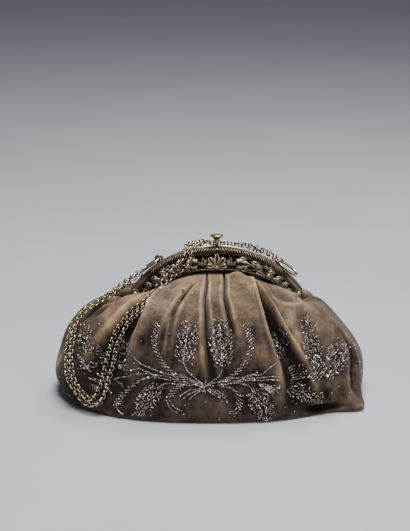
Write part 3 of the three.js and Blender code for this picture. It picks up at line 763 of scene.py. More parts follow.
# Leaves of one side of the panel: angle and rise of the foot, length, width, tilt, bend, dome, where it is
# fullest, and its notches.
LEAVES = {
    "bud": (8.6, 2.2, 9, 2.8, -4, 0, 1.1, 0.6, 0),
    "bud leaf left": (8.4, 4.2, 5.4, 1.9, -42, 10, 0.8, 0.5, 0),
    "bud leaf right": (9.2, 3.6, 5.4, 1.9, 40, -12, 0.8, 0.5, 0),
    "wing": (11.9, 5.6, 13, 9.4, 76, 12, 1.7, 0.15, 3),
    "wing crest": (12.4, 9.6, 8.4, 3, 62, 26, 1.2, 0.5, 0),
    "upper leaf": (20.2, 9.4, 9, 3, 80, 20, 1.1, 0.45, 2),
    "upper leaf end": (27.6, 9.2, 7.4, 2.6, 88, 14, 1, 0.45, 0),
    "lower leaf": (25.4, 2.2, 8.6, 2.8, 78, 12, 1, 0.45, 2),
    "spray low": (31.6, 2.6, 7.6, 2.6, 62, 24, 1.1, 0.5, 0),
    "spray mid": (31.4, 4.4, 8.4, 2.7, 44, 34, 1.1, 0.5, 0),
    "spray high": (31, 6.2, 7.2, 2.5, 22, 40, 1.1, 0.5, 0),
    "long leaf": (36.4, 2.2, 9.4, 2.9, 66, 24, 1.1, 0.45, 2),
    "long leaf over": (37.4, 4.6, 7.2, 2.4, 58, 26, 1, 0.5, 0),
    "end leaf": (42.6, 2, 7.4, 2.5, 66, 20, 1, 0.45, 0),
    "end leaf over": (43.2, 3.9, 6, 2.1, 60, 22, 0.9, 0.5, 0),
    "last leaf": (47.4, 1.8, 5.4, 2.2, 70, 12, 0.9, 0.45, 0),
}

# Scrolls of one side: angle and rise of the middle, radius, turns, wire, and which way they wind
CURLS = {
    "rosette": (26.6, 5.6, 3.1, 1.7, 0.75, -1),
    "foot curl": (18.6, 2.7, 1.9, 1.3, 0.6, 1),
    "small curl": (22.6, 6.6, 1.8, 1.2, 0.6, -1),
    "end curl": (34.6, 2, 1.5, 1.1, 0.55, 1),
}

# Lobes of the palmette: tilt, length, width and bend; then the foot's rise, dome, and where it is fullest
PALMETTE = {
    "tall lobe": (0, 11.8, 5.4, 0),
    "mid lobe": (34, 11, 5.2, 8),
    "low lobe": (68, 9, 4.6, 16),
}
LOBE_RISE = 1.8
LOBE_FORM = (1.6, 0.72)

# Round bars of the panel: how far they lie in from its edge or from the rim, their depth, radius and wear
RAILS = {
    "lower rail": (0.7, PANEL_BACK + 0.8, 0.9, 0.4),
    "upper rail": (RIM_HEIGHT + 0.2, PANEL_BACK + 0.7, 0.8, 0.5),
}

# Stems: angles from and to, rise over the panel's edge, how far they sway, waves of it in a turn, the angle
# where it dies away, depth and radius
STEM_SPAN = (4, 50)
STEM_RISE = 2.4
STEM_SWAY = 3.2
STEM_WAVES = 9
STEM_CALM = 60
STEM_DEPTH = 6.9
STEM_WIRE = 0.6

# Beads of the panel: depth, rise and radius of the row and how many, and rise and radius at the palmette
BEAD_DEPTH = PANEL_BACK + 1.6
RAIL_RISE = 0.5
RAIL_BEAD = 1.0
RAIL_BEADS = 56
FOOT_RISE = 2.4
FOOT_BEAD = 1.7


def panel_shapes():
    """Openwork of the front half: palmette, leaves, scrolls and stems on both sides, rails and beads."""
    shapes = []
    for tilt, length, width, bend in PALMETTE.values():
        for side in (-1, 1) if tilt else (1,):
            shapes.append(leaf_shape(0.0, LOBE_RISE, length, width, side * tilt, side * bend, *LOBE_FORM))
    for side in (-1, 1):
        for angle, rise, length, width, tilt, bend, *form in LEAVES.values():
            shapes.append(leaf_shape(side * angle, rise, length, width, side * tilt, side * bend, *form))
        for angle, rise, radius, turns, wire, way in CURLS.values():
            shapes.append(curl_shape(side * angle, rise, radius, turns, wire, side * way))
        t = np.linspace(*STEM_SPAN, 60)
        sway = STEM_SWAY * np.sin(np.radians(t * STEM_WAVES)) ** 2 * (1 - t / STEM_CALM)
        stem = arc_point(side * t, panel_radius(t) + STEM_RISE + sway, -STEM_DEPTH)
        shapes.append(bar(stem, STEM_WIRE, DEPTHWAYS, sides=6, wear_and_painted_light=0.45))
    angles = np.linspace(-FRAME_SPAN + 1, FRAME_SPAN - 1, 150)
    edges = (panel_radius(angles), 1), (FRAME_RADIUS, -1)
    for (edge, way), (inset, depth, radius, worn) in zip(edges, RAILS.values()):
        path = arc_point(angles, edge + way * inset, -depth)
        shapes.append(bar(path, radius, DEPTHWAYS, wear_and_painted_light=worn))
    places = np.linspace(-FRAME_SPAN + 4, FRAME_SPAN - 4, RAIL_BEADS)
    row = arc_point(places, panel_radius(places) + RAIL_RISE, -BEAD_DEPTH)
    shapes.append(beads(row, RAIL_BEAD, sides=9, levels=5, wear_and_painted_light=0.55))
    foot = arc_point(np.array([0.0]), panel_radius(0.0) + FOOT_RISE, -BEAD_DEPTH)
    shapes.append(beads(foot, FOOT_BEAD, sides=12, levels=7))
    return shapes


# Hinge eyes: radius of the hole, and how square the section is, the smaller the squarer
EYE_HOLE = 1.6
EYE_SQUARE = 0.35


def eye_shape(side):
    """A hinge eye: a squat ring about the hinge's axis, its section a rounded rectangle."""
    deep = (RIM_FRONT - PARTING_GAP) / 2
    turn, around = circle(20), circle(30)[:, None]
    reach, depth = (np.sign(wave) * np.abs(wave) ** EYE_SQUARE for wave in (np.cos(turn), np.sin(turn)))
    radius = ((EYE_RADIUS + EYE_HOLE) / 2 + (EYE_RADIUS - EYE_HOLE) / 2 * reach)[None]
    rounds = radius * np.cos(around), deep * depth[None], radius * np.sin(around)
    points = np.stack(np.broadcast_arrays(*rounds), -1)
    spot = arc_point(side * FRAME_SPAN, FRAME_RADIUS - HINGE_DEPTH_IN_RIM, -PARTING_GAP - deep)
    faces = grid_faces(len(around), len(turn), True, True)
    return turned_over(((points + spot).reshape(-1, 3), faces, np.full(points[..., 0].size, 0.6)))


def half_frame(stroke, rise):
    """One half of the frame, facing the front: rim, openwork and hinge eyes."""
    return joined([rim_shape(stroke, rise), *panel_shapes(), eye_shape(-1), eye_shape(1)])


def mirrored_back(shape):
    """The front half's shape as the half behind."""
    points, faces, wear_and_painted_light = shape
    return turned_over((points * np.array([1.0, -1.0, 1.0]), faces, wear_and_painted_light))


def lug_middle(angle):
    """Middle of a lug on the back half's rim."""
    return arc_point(angle, FRAME_RADIUS + LUG_RADIUS - LUG_SINK, LUG_Y)


def lug_shapes(wire):
    """The two lugs: upright rings on the back half's rim, facing the front, each on a small domed foot."""
    shapes = []
    sideways = np.array([[1.0, 0.0, 0.0]])
    for angle in (LUG_LEFT, LUG_RIGHT):
        middle = lug_middle(angle)[None]
        shapes.append(rings(middle, DEPTHWAYS[None], sideways, LUG_RADIUS, wire, around=28, sides=12))
        foot = arc_point(np.array([angle]), FRAME_RADIUS - LUG_FOOT_SINK, LUG_Y)
        shapes.append(beads(foot, LUG_FOOT, sides=14, levels=7, wear_and_painted_light=0.6))
    return shapes


def loop_line(angle, share):
    """Middle line of a loop: two half circles joined by straights, through its lug at its near end.

    share runs from 0 to 1 round the loop, from the near end.
    """
    radius, straight, bend = LOOP_END_RADIUS, LOOP_STRETCH, np.pi * LOOP_END_RADIUS
    whole = 2 * straight + 2 * bend
    walk = ((share % 1) * whole + bend / 2) % whole
    near, top, far = walk < bend, walk < bend + straight, walk < 2 * bend + straight
    turn = np.where(near, walk, walk - bend - straight) / radius
    lean, rise = radius * np.sin(turn), radius * np.cos(turn)
    last = radius + straight - (walk - 2 * bend - straight)
    x = np.select([near, top, far], [radius - lean, radius + walk - bend, radius + straight + lean], last)
    y = np.select([near, top, far], [-rise, radius, rise], -radius)
    return loop_place(angle, x, y)


def loop_place(angle, x, y):
    """A place in a loop's own plane: x from its lug out and down, y to the back and, at the right, up."""
    side = 1 if angle > 0 else -1
    slope = np.radians(LOOP_SLOPE)
    twist = np.radians(LOOP_TWIST if side > 0 else 0.0)
    raised = y * np.sin(twist)
    across = side * (x * np.cos(slope) + raised * np.sin(slope))
    flat = np.stack([across, y * np.cos(twist), raised * np.cos(slope) - x * np.sin(slope)], -1)
    return flat + lug_middle(angle) + np.array([0.0, 0.0, LUG_DROP])


# Loops: steps round the loop and round its wire, and wear at the wire's sides and what its top adds, which
# is painted light: paler on top of the wire and darker under it
LOOP_STEPS = 72
LOOP_SIDES = 12
LOOP_WEAR_AND_TOP_LIGHT = (0.55, 0.45)


def loop_shape(angle, wire):
    """An oval wire loop: a circle carried round its middle line and closed on itself."""
    path = loop_line(angle, np.linspace(0, 1, LOOP_STEPS, endpoint=False))
    way = unit(np.roll(path, -1, 0) - np.roll(path, 1, 0))
    corner, ahead, beside = (loop_place(angle, x, y) for x, y in ((0.0, 0.0), (1.0, 0.0), (0.0, 1.0)))
    flat = unit(np.cross(ahead - corner, beside - corner))
    turn = circle(LOOP_SIDES)
    points = path[:, None] + wire * spokes(turn, np.cross(way, flat), np.broadcast_to(flat, path.shape))
    faces = grid_faces(len(path), len(turn), True, True)
    middle, change = LOOP_WEAR_AND_TOP_LIGHT
    # Painted light: the wire is paler on its top and darker underneath
    wear_and_painted_light = np.broadcast_to(middle + change * np.sin(turn) * np.sign(flat[2]), points.shape[:2])
    return turned_over((points.reshape(-1, 3), faces, wear_and_painted_light.ravel()))


# Chain

# The handle's way on the frame: angle, lift off the arc, depth, and which way the pair of chains faces, from
# -90 to the back over 0 up to 90 to the front. It lies on the solids' way, a little higher over the crown.
ROUTE_ON_FRAME = np.array(
    [
        (31.4, 3.6, 3.7, 0),
        (25, 3.6, 5.4, -15),
        (19.4, 1.4, 9.8, -55),
        (14, -1.4, 11.4, -78),
        (7, -2.2, 11.4, -86),
        (0, -2.2, 11.4, -86),
        (-5, -1.2, 11.4, -78),
        (-8.8, 2.4, 8.6, -40),
        (-11.2, 3.6, 1.6, 0),
        (-13.4, 3.8, -5.6, 25),
        (-15, 0.4, -11.2, 65),
        (-17.2, -5, -12.6, 88),
        (-20.6, -8.2, -12.6, 90),
        (-25, -10.2, -12.8, 90),
        (-30, -11.4, -13.6, 90),
    ],
    float,
)

# Its way over the velvet, close to the solids' way: turn, section and distance off the smooth cloth
ROUTE_ON_POUCH = np.array(
    [
        (-39, 2.25, 7.6),
        (-40.4, 2.9, 9.4),
        (-43, 3.5, 8.7),
        (-44, 4.3, 6.4),
        (-43.2, 5.1, 4.8),
        (-42.6, 5.8, 4),
        (-44.8, 6.35, 3.6),
        (-49.5, 6.5, 3.3),
        (-54, 6.15, 3.3),
        (-59.5, 5.5, 3.3),
        (-66, 4.8, 3.5),
        (-73.5, 4.1, 4.2),
        (-79, 3.6, 7.2),
        (-84.5, 3.15, 5.2),
    ],
    float,
)

# Which way the pair faces at the left loop, samples between stops, and how far the strands are eased
END_FACING = (-0.5, 0.0, 0.87)
ROUTE_SAMPLES = 40
EASED_ACROSS = 10
EASED_ALONG = 12

# How far a ring is turned out of square at most, and the change from ring to ring, in degrees and radians
RING_WOBBLE = 14
WOBBLE_STEP = 2.4


def flowing(stops, samples):
    """A smooth curve through the stops: a centripetal cubic between each pair, evenly sampled."""
    ends = np.concatenate([2 * stops[:1] - stops[1:2], stops, 2 * stops[-1:] - stops[-2:-1]])
    a, b, c, d = ends[:-3], ends[1:-2], ends[2:-1], ends[3:]
    pairs = ((a, b), (b, c), (c, d))
    gap = [np.maximum(np.linalg.norm(q - p, axis=1) ** 0.5, 1e-4)[:, None] for p, q in pairs]
    out = ((b - a) / gap[0] - (c - a) / (gap[0] + gap[1]) + (c - b) / gap[1]) * gap[1]
    into = ((c - b) / gap[1] - (d - b) / (gap[1] + gap[2]) + (d - c) / gap[2]) * gap[1]
    t = np.linspace(0, 1, samples, endpoint=False)[None, :, None]
    curve = b[:, None] + out[:, None] * t
    curve = curve + (3 * (c - b) - 2 * out - into)[:, None] * t**2
    curve = curve + (2 * (b - c) + out + into)[:, None] * t**3
    return np.concatenate([curve.reshape(-1, stops.shape[1]), stops[-1:]])


def eased(values, reach):
    """Values along a line, each averaged over its neighbours with its ends held."""
    padded = np.concatenate([np.repeat(values[:1], reach, 0), values, np.repeat(values[-1:], reach, 0)])
    total = np.cumsum(np.concatenate([np.zeros((1, values.shape[1])), padded]), 0)
    return (total[2 * reach + 1 :] - total[: -2 * reach - 1]) / (2 * reach + 1)


def handle_line():
    """Middle line of the handle, and the way its pair of chains faces, from the right loop to the left."""
    angle, lift, depth, roll = ROUTE_ON_FRAME.T
    spots = set_up(arc_point(angle, FRAME_RADIUS + lift, depth))
    up = np.stack([np.sin(np.radians(angle)), np.zeros_like(angle), np.cos(np.radians(angle))], -1)
    facing = up * np.cos(np.radians(roll))[:, None] - DEPTHWAYS * np.sin(np.radians(roll))[:, None]
    turn, v, off = ROUTE_ON_POUCH.T
    on_velvet = pouch_point(turn, v, off, narrowest=COARSE)
    hook = LOOP_END_RADIUS - math.sqrt(LOOP_END_RADIUS**2 - (CHAIN_SPACING / 2) ** 2)
    reach = 2 * LOOP_END_RADIUS + LOOP_STRETCH - hook
    hooks = ((LUG_RIGHT, hook), (LUG_LEFT, reach))
    start, end = set_up(np.stack([loop_place(lug, np.array(x), np.array(0.0)) for lug, x in hooks]))
    stops = np.concatenate([start[None], spots, on_velvet, end[None]])
    ways = np.concatenate([up[:1], facing, base_normal(turn, v), [END_FACING]])
    return flowing(stops, ROUTE_SAMPLES), flowing(ways, ROUTE_SAMPLES)


def chain_shape(side, pitch, radius, wire, around, sides):
    """One chain: rings at even steps along its strand, every other one turned a quarter, each in the next.

    The strand runs beside the handle's middle line, half the spacing along the facing crossed with the way.
    """
    middle, facing = handle_line()
    way = unit(np.gradient(middle, axis=0))
    across = eased(unit(np.cross(facing, way)), EASED_ACROSS)
    strand = eased(middle + side * 0.5 * CHAIN_SPACING * across, EASED_ALONG)
    walk = walked(strand)
    links = int(round(walk[-1] / pitch)) | 1
    places = np.linspace(0, walk[-1], links)
    at, face = (read_at(places, walk, line) for line in (strand, facing))
    ahead = unit(np.gradient(at, axis=0))
    beside = unit(np.cross(face, ahead))
    odd = (np.arange(links) % 2)[:, None]
    flat = np.where(odd == 1, np.cross(ahead, beside), beside)
    wobble = np.radians(RING_WOBBLE) * np.sin(np.arange(links) * WOBBLE_STEP + side)[:, None]
    flat = unit(flat * np.cos(wobble) + np.cross(ahead, flat) * np.sin(wobble))
    return rings(at, flat, ahead, radius, wire, around, sides)


# Embroidery

# The charts are drawn on the front as the picture shows it, in squares counted right and up from the
# crossing of the stems. A square is 0.8 mm, and the crossing lies below the middle of the picture.
CHART_SQUARE = 0.807
CROSSING_DROP = 96.4

# In squares: from bead to bead, between a feather's rows, along its line while they are placed, the side of
# the small square that holds one bead, and how far a bead strays. Then the least share of a row's gap along
# the line.
BEAD_STEP = 1.55
FEATHER_GAP = 2.5
FEATHER_SAMPLE = 0.25
BEAD_ROOM = 1.15
BEAD_STRAY = 0.16
LEAST_CROSSING = 0.45
BEAD_SEED = 11

# Single rows of beads, by the places that they pass through
ROWS = {
    "left stem": ((-22, 23), (-17, 14), (-9, 6), (0, 0)),
    "right stem": ((17.5, 18), (16, 12), (11, 6), (0, 0)),
    "left spray top": ((-71, 28), (-63, 20.5), (-52, 16), (-42, 12), (-32, 9.8)),
    "left spray mid": ((-86, 17), (-77, 14.5), (-66, 16.5), (-59, 13.5), (-50, 10), (-40, 9), (-32, 6.6)),
    "left spray low": (
        (-91, 5.5), (-83, 8), (-76, 8.5), (-72, 11), (-65, 11), (-53, 11), (-45, 7), (-33, 4.8)
    ),
    "left spray inner": ((-56, 18), (-47, 14), (-39, 11)),
    "left neck high": ((-19, 8), (-10, 3.6), (-1, 0.8)),
    "left neck mid": ((-19, 5.4), (-10, 2.2), (-2, 0)),
    "left neck low": ((-20, 2.6), (-11, 0.6), (-3, -0.8)),
    "left spray end": ((-88, 21), (-82, 19.5), (-76, 20)),
    "left spray end low": ((-87, 18.6), (-81, 17.4), (-75, 17.6)),
    "right spray top": ((72.5, 22), (64, 17), (59, 12), (53, 10), (44, 10), (35, 5), (20, 4), (4, 1)),
    "right spray mid": ((74, 8), (66, 8.5), (58, 7.5), (46, 7), (30, 4), (14, 2)),
    "right spray low": ((74, 4.5), (66, 5.5), (58, 4.5), (44, 5), (28, 1.6), (12, 0)),
    "right spray inner": ((52, 12.5), (42, 8), (34, 7.5), (24, 6), (12, 3)),
    "left low stem": ((-14, -0.5), (-30, 1), (-40, 1.5), (-45, -1), (-48, -5)),
    "right low stem": ((14, -0.5), (27, 2), (38, 1), (45, -2), (48, -8), (46, -13)),
    "left fern end": ((-88, -19), (-88, -23), (-85, -27), (-82, -29)),
    "left wavy row": ((-117, 20), (-113, 23), (-109, 21), (-105, 24)),
    "left wavy row low": ((-120, 16), (-116, 19), (-111, 18), (-107, 20)),
    "left bank": ((-90, 27), (-86, 23.5), (-80, 24), (-77, 29)),
    "pocket row": ((86, 5), (93, 6), (100, 9), (104, 8)),
    "left under high": ((-5, -3.6), (-17, -5.8), (-25, -11)),
    "left under mid": ((-5, -4.6), (-15, -8.4), (-22, -13.7)),
    "left under low": ((-4, -5.6), (-11, -10), (-16, -14.6)),
    "right under high": ((4, -3.4), (13, -6), (21, -11)),
    "right under mid": ((3, -4.4), (12, -8.4), (20, -13.4), (22.4, -18)),
    "right under low": ((3, -5.6), (9, -9.4), (15.4, -13)),
    "knot upright": ((0.6, 4.5), (0, 0), (-1.4, -5.5)),
    "knot across": ((-5, 2), (0, -1.4), (5, 1.6)),
    "left curl foot": ((-38.6, -15), (-35.4, -22), (-32, -26), (-26.7, -27)),
    "left curl foot inner": ((-35.8, -15), (-32.4, -20), (-29.5, -23), (-22.8, -26)),
    "right curl foot": ((35, -24), (32, -27.5), (24, -28)),
    "right curl foot inner": ((31.6, -23), (30, -25.4), (25, -26)),
    "left inner low": ((-108.6, 12.2), (-106, 10), (-104.3, 7.4)),
    "left inner low mid": ((-116.2, 7.4), (-112, 5.4), (-109.5, 3.6), (-105.7, 2.2)),
    "left inner low under": ((-110.5, 6.4), (-108, 5.4), (-105.7, 4)),
    "left flower stem": ((-22, 23), (-19.5, 40), (-16.5, 60)),
    "right flower stem": ((17.5, 18), (16, 40), (14.5, 60)),
}

# Feathers: places that the line passes through, headings of its first and last row, and beads in a row
FEATHERS = {
    "left feather": (
        ((-47, 60), (-50, 50), (-51, 41), (-48, 33), (-44, 25), (-38, 17), (-30, 11)), -50, -6, 5
    ),
    "right feather": (
        ((40, 61), (44, 53), (46, 44), (45, 33), (42, 25), (36, 17), (27, 9), (20, 6)), 56, 0, 5
    ),
    "left fern": (((-48, 8), (-60, 7), (-69, 2), (-77, -5), (-84, -12), (-88, -19)), 24, 4, 5),
    "left curl": (
        ((-22, 1), (-25.6, -1.4), (-29.5, -4.2), (-32.6, -7), (-34.4, -10), (-35.8, -14)), -14, 18, 5
    ),
    "right curl": (((20, -1.7), (27, -3.5), (31.2, -6.7), (34, -12), (34.4, -18), (32.6, -23)), -6, -46, 5),
    "right panel leaf": (((117, 12), (123, 25), (127, 40)), 36, 20, 4),
    "right outer leaf": (((122, 11), (135, 24), (146, 43)), 66, 84, 4),
}

# Flower spikes: foot, tip and half width
SPIKES = {
    "left hyacinth": ((-21.5, 23), (-15, 67), 11),
    "right hyacinth": ((18, 18), (14, 66), 11.5),
    "lower left flower": ((-46, 1), (-68, -30), 9.5),
    "lower right flower": ((49, -4), (64, -35), 11),
    "gorge flower": ((76, 26), (72, 55), 6.5),
    "right panel flower": ((111, 20), (101.5, 69), 8.2),
    "right low flower": ((83, -3), (118, -14), 8.2),
    "left panel flower": ((-118, 30), (-121, 62), 7.5),
    "left inner flower": ((-79, 28), (-82, 44), 6.5),
    "right outer flower": ((124, 12), (138, 42), 11.5),
    "crossing knot": ((-7, -2), (8, -2), 4.5),
}

# Rows side by side: foot and tip of the first and of the last, how many, and how far they bow
SIDE_BY_SIDE = {
    "right fan": ((54, 1), (70, -3), (58, -3), (68, -11), 6, 1.2),
    "right fan edge": ((62, -2), (76, -1), (66, -6), (76, -9), 4, 1),
    "gorge rows": ((84, 17), (92.7, 20.4), (88, 7), (100, 10), 5, 0.5),
    "dark rows": ((106, 22), (110, 30), (113, 5), (119, 13), 7, -0.6),
    "pale rows": ((116, 12), (119, 17), (126, 4), (129, 9), 6, 0.5),
    "left leaf rows": ((-127, 30), (-119, 20), (-124, 17), (-113, 13), 5, 1.6),
    "left valley rows": ((-107, 39), (-101, 37), (-103, 22), (-96, 20), 7, 1),
    "left low rows": ((-104, 8), (-98, 2), (-98, -4), (-93, -9), 4, 0.6),
    "left foot rows": ((-112.5, 0), (-111.5, -6), (-107, -1), (-106, -6.5), 4, 0.4),
    "right slant rows": ((104.8, 9.4), (110.8, 15.5), (107.8, 2.8), (112, 8.2), 4, 0.4),
    "left bank rows": ((-88, 4), (-84, 0), (-83, 2), (-82, -3), 2, 0.6),
    "crossing rows": ((-31, 10.4), (-19.5, 9.6), (-31, 3.6), (-20, 3.2), 4, 0.3),
    "right rim rows": ((136, 38), (140, 44), (143, 30), (148, 38), 5, -0.6),
}

# Beads sewn alone: how many, and the turns and sections that they lie between
SINGLE_BEADS = 150
ALONE_TURNS = (-84, 84)
ALONE_SECTIONS = (1.9, 7.2)

# Nets of the spikes, in squares: spacing along and across, how far a foot strays, and the beads in a row. In
# degrees: how far rows fan out at the edge, how far a heading strays, and how far a row bends. The oval of a
# spike is part of a half wave: the share at its foot, the share over its length, and how blunt it is.
NET_ALONG = 2.8
NET_ACROSS = 2.7
NET_STRAY = 1.2
NET_BEADS = 2
NET_FAN = 62
NET_TURN = 30
NET_BEND = 90
NET_FOOT = 1.5
OVAL_FOOT = 0.14
OVAL_SPAN = 0.8
OVAL_POWER = 0.6

# Search for a chart place on the cloth: steps in all and on the smooth pouch, turns and sections that it
# keeps to, the longest step in each, and the steps that measure the slope. Its first guess takes the pouch
# as an upright drum with this shift, half width and greatest share of it, between these sections.
SEARCH_STEPS = 14
SMOOTH_STEPS = 9
SEARCH_TURNS = (-86, 86)
SEARCH_SECTIONS = (1.6, 7.5)
LONGEST_TURN = 6
LONGEST_SECTION = 0.3
SLOPE_TURN = 0.5
SLOPE_SECTION = 0.05
DRUM_SHIFT = 3.5
DRUM_HALF = 125
DRUM_EDGE = 0.97
DRUM_SECTIONS = (1.2, 7.6)

# Beads: how far the middle stands off the cloth as a share of the radius, least and greatest size and
# polish, and the steps in turn and section that give the cloth's slope
BEAD_SEAT = 0.6
BEAD_SIZES = (0.85, 1.12)
BEAD_POLISH = (0.2, 1.0)
BEAD_SLOPE = (0.25, 0.015)

# Cells that count the beads about a place: how many by turn and by section, between which values, how often
# the counts are spread, and the count that is full.
CELLS = (120, 100)
CELL_RANGE = ((-90, 90), (1, 8))
CELL_SPREADS = 5
FULL_COUNT = 1.3


def even_steps(stops, step):
    """Places at even steps along a smooth line through the stops."""
    line = flowing(np.array(stops, float), 24)
    walk = walked(line)
    return read_at(np.arange(0, walk[-1], step), walk, line)


def bent_rows(feet, heading, bend, count):
    """Short rows of beads: each leaves its foot at its heading in degrees and turns evenly by its bend."""
    turn = np.radians(heading[:, None] + bend[:, None] * np.linspace(0, 1, count))
    hop = np.stack([np.cos(turn), np.sin(turn)], -1) * BEAD_STEP
    return (feet[:, None] + np.cumsum(hop, 1) - hop).reshape(-1, 2)


def feather(stops, first, last, count):
    """A feather: rows across a smooth line, one beside the other, from the first heading to the last.

    The rows lie a set gap apart, measured square to them, so they stand further apart on the line where
    they run along it.
    """
    line = even_steps(stops, FEATHER_SAMPLE)
    step = np.gradient(line, axis=0)
    heading = np.linspace(first, last, len(line))
    cross = np.abs(np.sin(np.arctan2(step[:, 1], step[:, 0]) - np.radians(heading)))
    rows = np.cumsum(np.maximum(cross, LEAST_CROSSING)) * FEATHER_SAMPLE / FEATHER_GAP
    chosen = np.searchsorted(rows, np.arange(rows[0], rows[-1]))
    turn = np.radians(heading[chosen])
    half = 0.5 * (count - 1) * BEAD_STEP
    feet = line[chosen] - half * np.stack([np.cos(turn), np.sin(turn)], -1)
    return bent_rows(feet, heading[chosen], np.zeros(len(chosen)), count)


def spike(foot, tip, half, chance):
    """A flower spike: short bent rows in a loose net over an oval, fanning out from its middle line."""
    foot, tip = np.array(foot, float), np.array(tip, float)
    length = np.linalg.norm(tip - foot)
    steps = np.arange(NET_FOOT, length, NET_ALONG), np.arange(-half, half + 0.1, NET_ACROSS)
    along, across = np.meshgrid(*steps)
    along, across = along.ravel(), across.ravel()
    along = along + chance.uniform(-NET_STRAY, NET_STRAY, along.shape)
    across = across + chance.uniform(-NET_STRAY, NET_STRAY, across.shape)
    share = np.clip(OVAL_FOOT + OVAL_SPAN * along / length, 0, 1)
    room = half * np.sin(np.pi * share) ** OVAL_POWER
    kept = np.abs(across) < room
    along, across = along[kept], across[kept]
    axis = (tip - foot) / length
    right = np.array([axis[1], -axis[0]])
    feet = foot + along[:, None] * axis + across[:, None] * right
    upwards = np.degrees(np.arctan2(axis[1], axis[0]))
    heading = upwards - NET_FAN * across / half + chance.normal(0, NET_TURN, along.shape)
    return bent_rows(feet, heading, chance.uniform(-NET_BEND, NET_BEND, along.shape), NET_BEADS)


def side_by_side(first_foot, first_tip, last_foot, last_tip, count, bow):
    """Rows side by side: feet and tips spread evenly from the first row to the last, each bowed upwards."""
    share = np.linspace(0, 1, count)[:, None]
    feet = np.array(first_foot) * (1 - share) + np.array(last_foot) * share
    tips = np.array(first_tip) * (1 - share) + np.array(last_tip) * share
    middles = (feet + tips) / 2 + np.array([0.0, bow])
    return np.concatenate([even_steps(stops, BEAD_STEP) for stops in np.stack([feet, middles, tips], 1)])


def drawn(points):
    """Where points show on the plane through the picture's target, in mm right and up from it."""
    tilt = np.radians(VIEW_TILT)
    away = points - np.array(VIEW_TARGET)
    nearer = away @ np.array([0.0, -np.cos(tilt), np.sin(tilt)])
    up = away @ np.array([0.0, np.sin(tilt), np.cos(tilt)])
    return np.stack([away[..., 0], up], -1) * (VIEW_DISTANCE / (VIEW_DISTANCE - nearer))[..., None]


def on_cloth(chart):
    """Turn and section where each chart place lies: Newton steps on the smooth pouch, then with folds."""
    wanted = chart * CHART_SQUARE - np.array([0.0, CROSSING_DROP])
    levels = np.linspace(*DRUM_SECTIONS, 80)
    aside = np.clip((wanted[:, 0] - DRUM_SHIFT) / DRUM_HALF, -DRUM_EDGE, DRUM_EDGE)
    turn = np.degrees(np.arcsin(aside))
    v = np.interp(-wanted[:, 1], -drawn(base_point(np.zeros_like(levels), levels))[:, 1], levels)
    for step in range(SEARCH_STEPS):
        cloth = base_point(turn, v) if step < SMOOTH_STEPS else pouch_point(turn, v, 0.0, UNDER_BEADS)
        miss = wanted - drawn(cloth)
        right, left = (drawn(base_point(turn + aside, v)) for aside in (SLOPE_TURN, -SLOPE_TURN))
        lower, upper = (drawn(base_point(turn, v + down)) for down in (SLOPE_SECTION, -SLOPE_SECTION))
        by_turn, by_level = (right - left) / (2 * SLOPE_TURN), (lower - upper) / (2 * SLOPE_SECTION)
        area = by_turn[:, 0] * by_level[:, 1] - by_turn[:, 1] * by_level[:, 0]
        more_turn = (miss[:, 0] * by_level[:, 1] - miss[:, 1] * by_level[:, 0]) / area
        more_level = (by_turn[:, 0] * miss[:, 1] - by_turn[:, 1] * miss[:, 0]) / area
        turn = np.clip(turn + np.clip(more_turn, -LONGEST_TURN, LONGEST_TURN), *SEARCH_TURNS)
        v = np.clip(v + np.clip(more_level, -LONGEST_SECTION, LONGEST_SECTION), *SEARCH_SECTIONS)
    return turn, v


def sewn_places():
    """Turn and section of every bead on the front, with no two in the same small square of the chart."""
    chance = np.random.default_rng(BEAD_SEED)
    parts = [even_steps(stops, BEAD_STEP) for stops in ROWS.values()]
    parts += [feather(*row) for row in FEATHERS.values()]
    parts += [spike(*row, chance) for row in SPIKES.values()]
    parts += [side_by_side(*row) for row in SIDE_BY_SIDE.values()]
    chart = np.concatenate(parts)
    _, kept = np.unique(np.round(chart / BEAD_ROOM), axis=0, return_index=True)
    chart = chart[np.sort(kept)]
    turn, v = on_cloth(chart + chance.normal(0, BEAD_STRAY, chart.shape))
    alone_turn = chance.uniform(*ALONE_TURNS, SINGLE_BEADS)
    alone_v = chance.uniform(*ALONE_SECTIONS, SINGLE_BEADS)
    return np.concatenate([turn, alone_turn]), np.concatenate([v, alone_v])


def bead_shape(turn, v, radius):
    """Cut steel beads: balls of two rings of six corners, turned at random and sunk in the pile."""
    chance = np.random.default_rng(BEAD_SEED + 1)
    normal = face_normal(pouch_point, turn, v, *BEAD_SLOPE)
    centre = pouch_point(turn, v) + normal * BEAD_SEAT * radius
    first = unit(chance.normal(0, 1, (len(turn), 3)))
    second = unit(np.cross(first, chance.normal(0, 1, (len(turn), 3))))
    axes = np.stack([first, second, np.cross(first, second)], 1)
    size = radius * chance.uniform(*BEAD_SIZES, len(turn))
    polish = chance.uniform(*BEAD_POLISH, len(turn))
    return beads(centre, size, sides=6, levels=2, wear_and_painted_light=polish, turns=axes)


def bead_density(turn, v, sewn_turn, sewn_v):
    """How closely beads lie about each place, from 0 to 1: counts in small cells, spread to neighbours."""
    counts, _, _ = np.histogram2d(sewn_turn, sewn_v, bins=CELLS, range=CELL_RANGE)
    for axis in (0, 1):
        for _ in range(CELL_SPREADS):
            counts = (np.roll(counts, 1, axis) + 2 * counts + np.roll(counts, -1, axis)) / 4
    spots = []
    for value, many, (low, high) in zip((turn, v), CELLS, CELL_RANGE):
        spots.append(np.clip(((value - low) / ((high - low) / many)).astype(int), 0, many - 1))
    return np.clip(counts[tuple(spots)] / FULL_COUNT, 0, 1)


# Materials

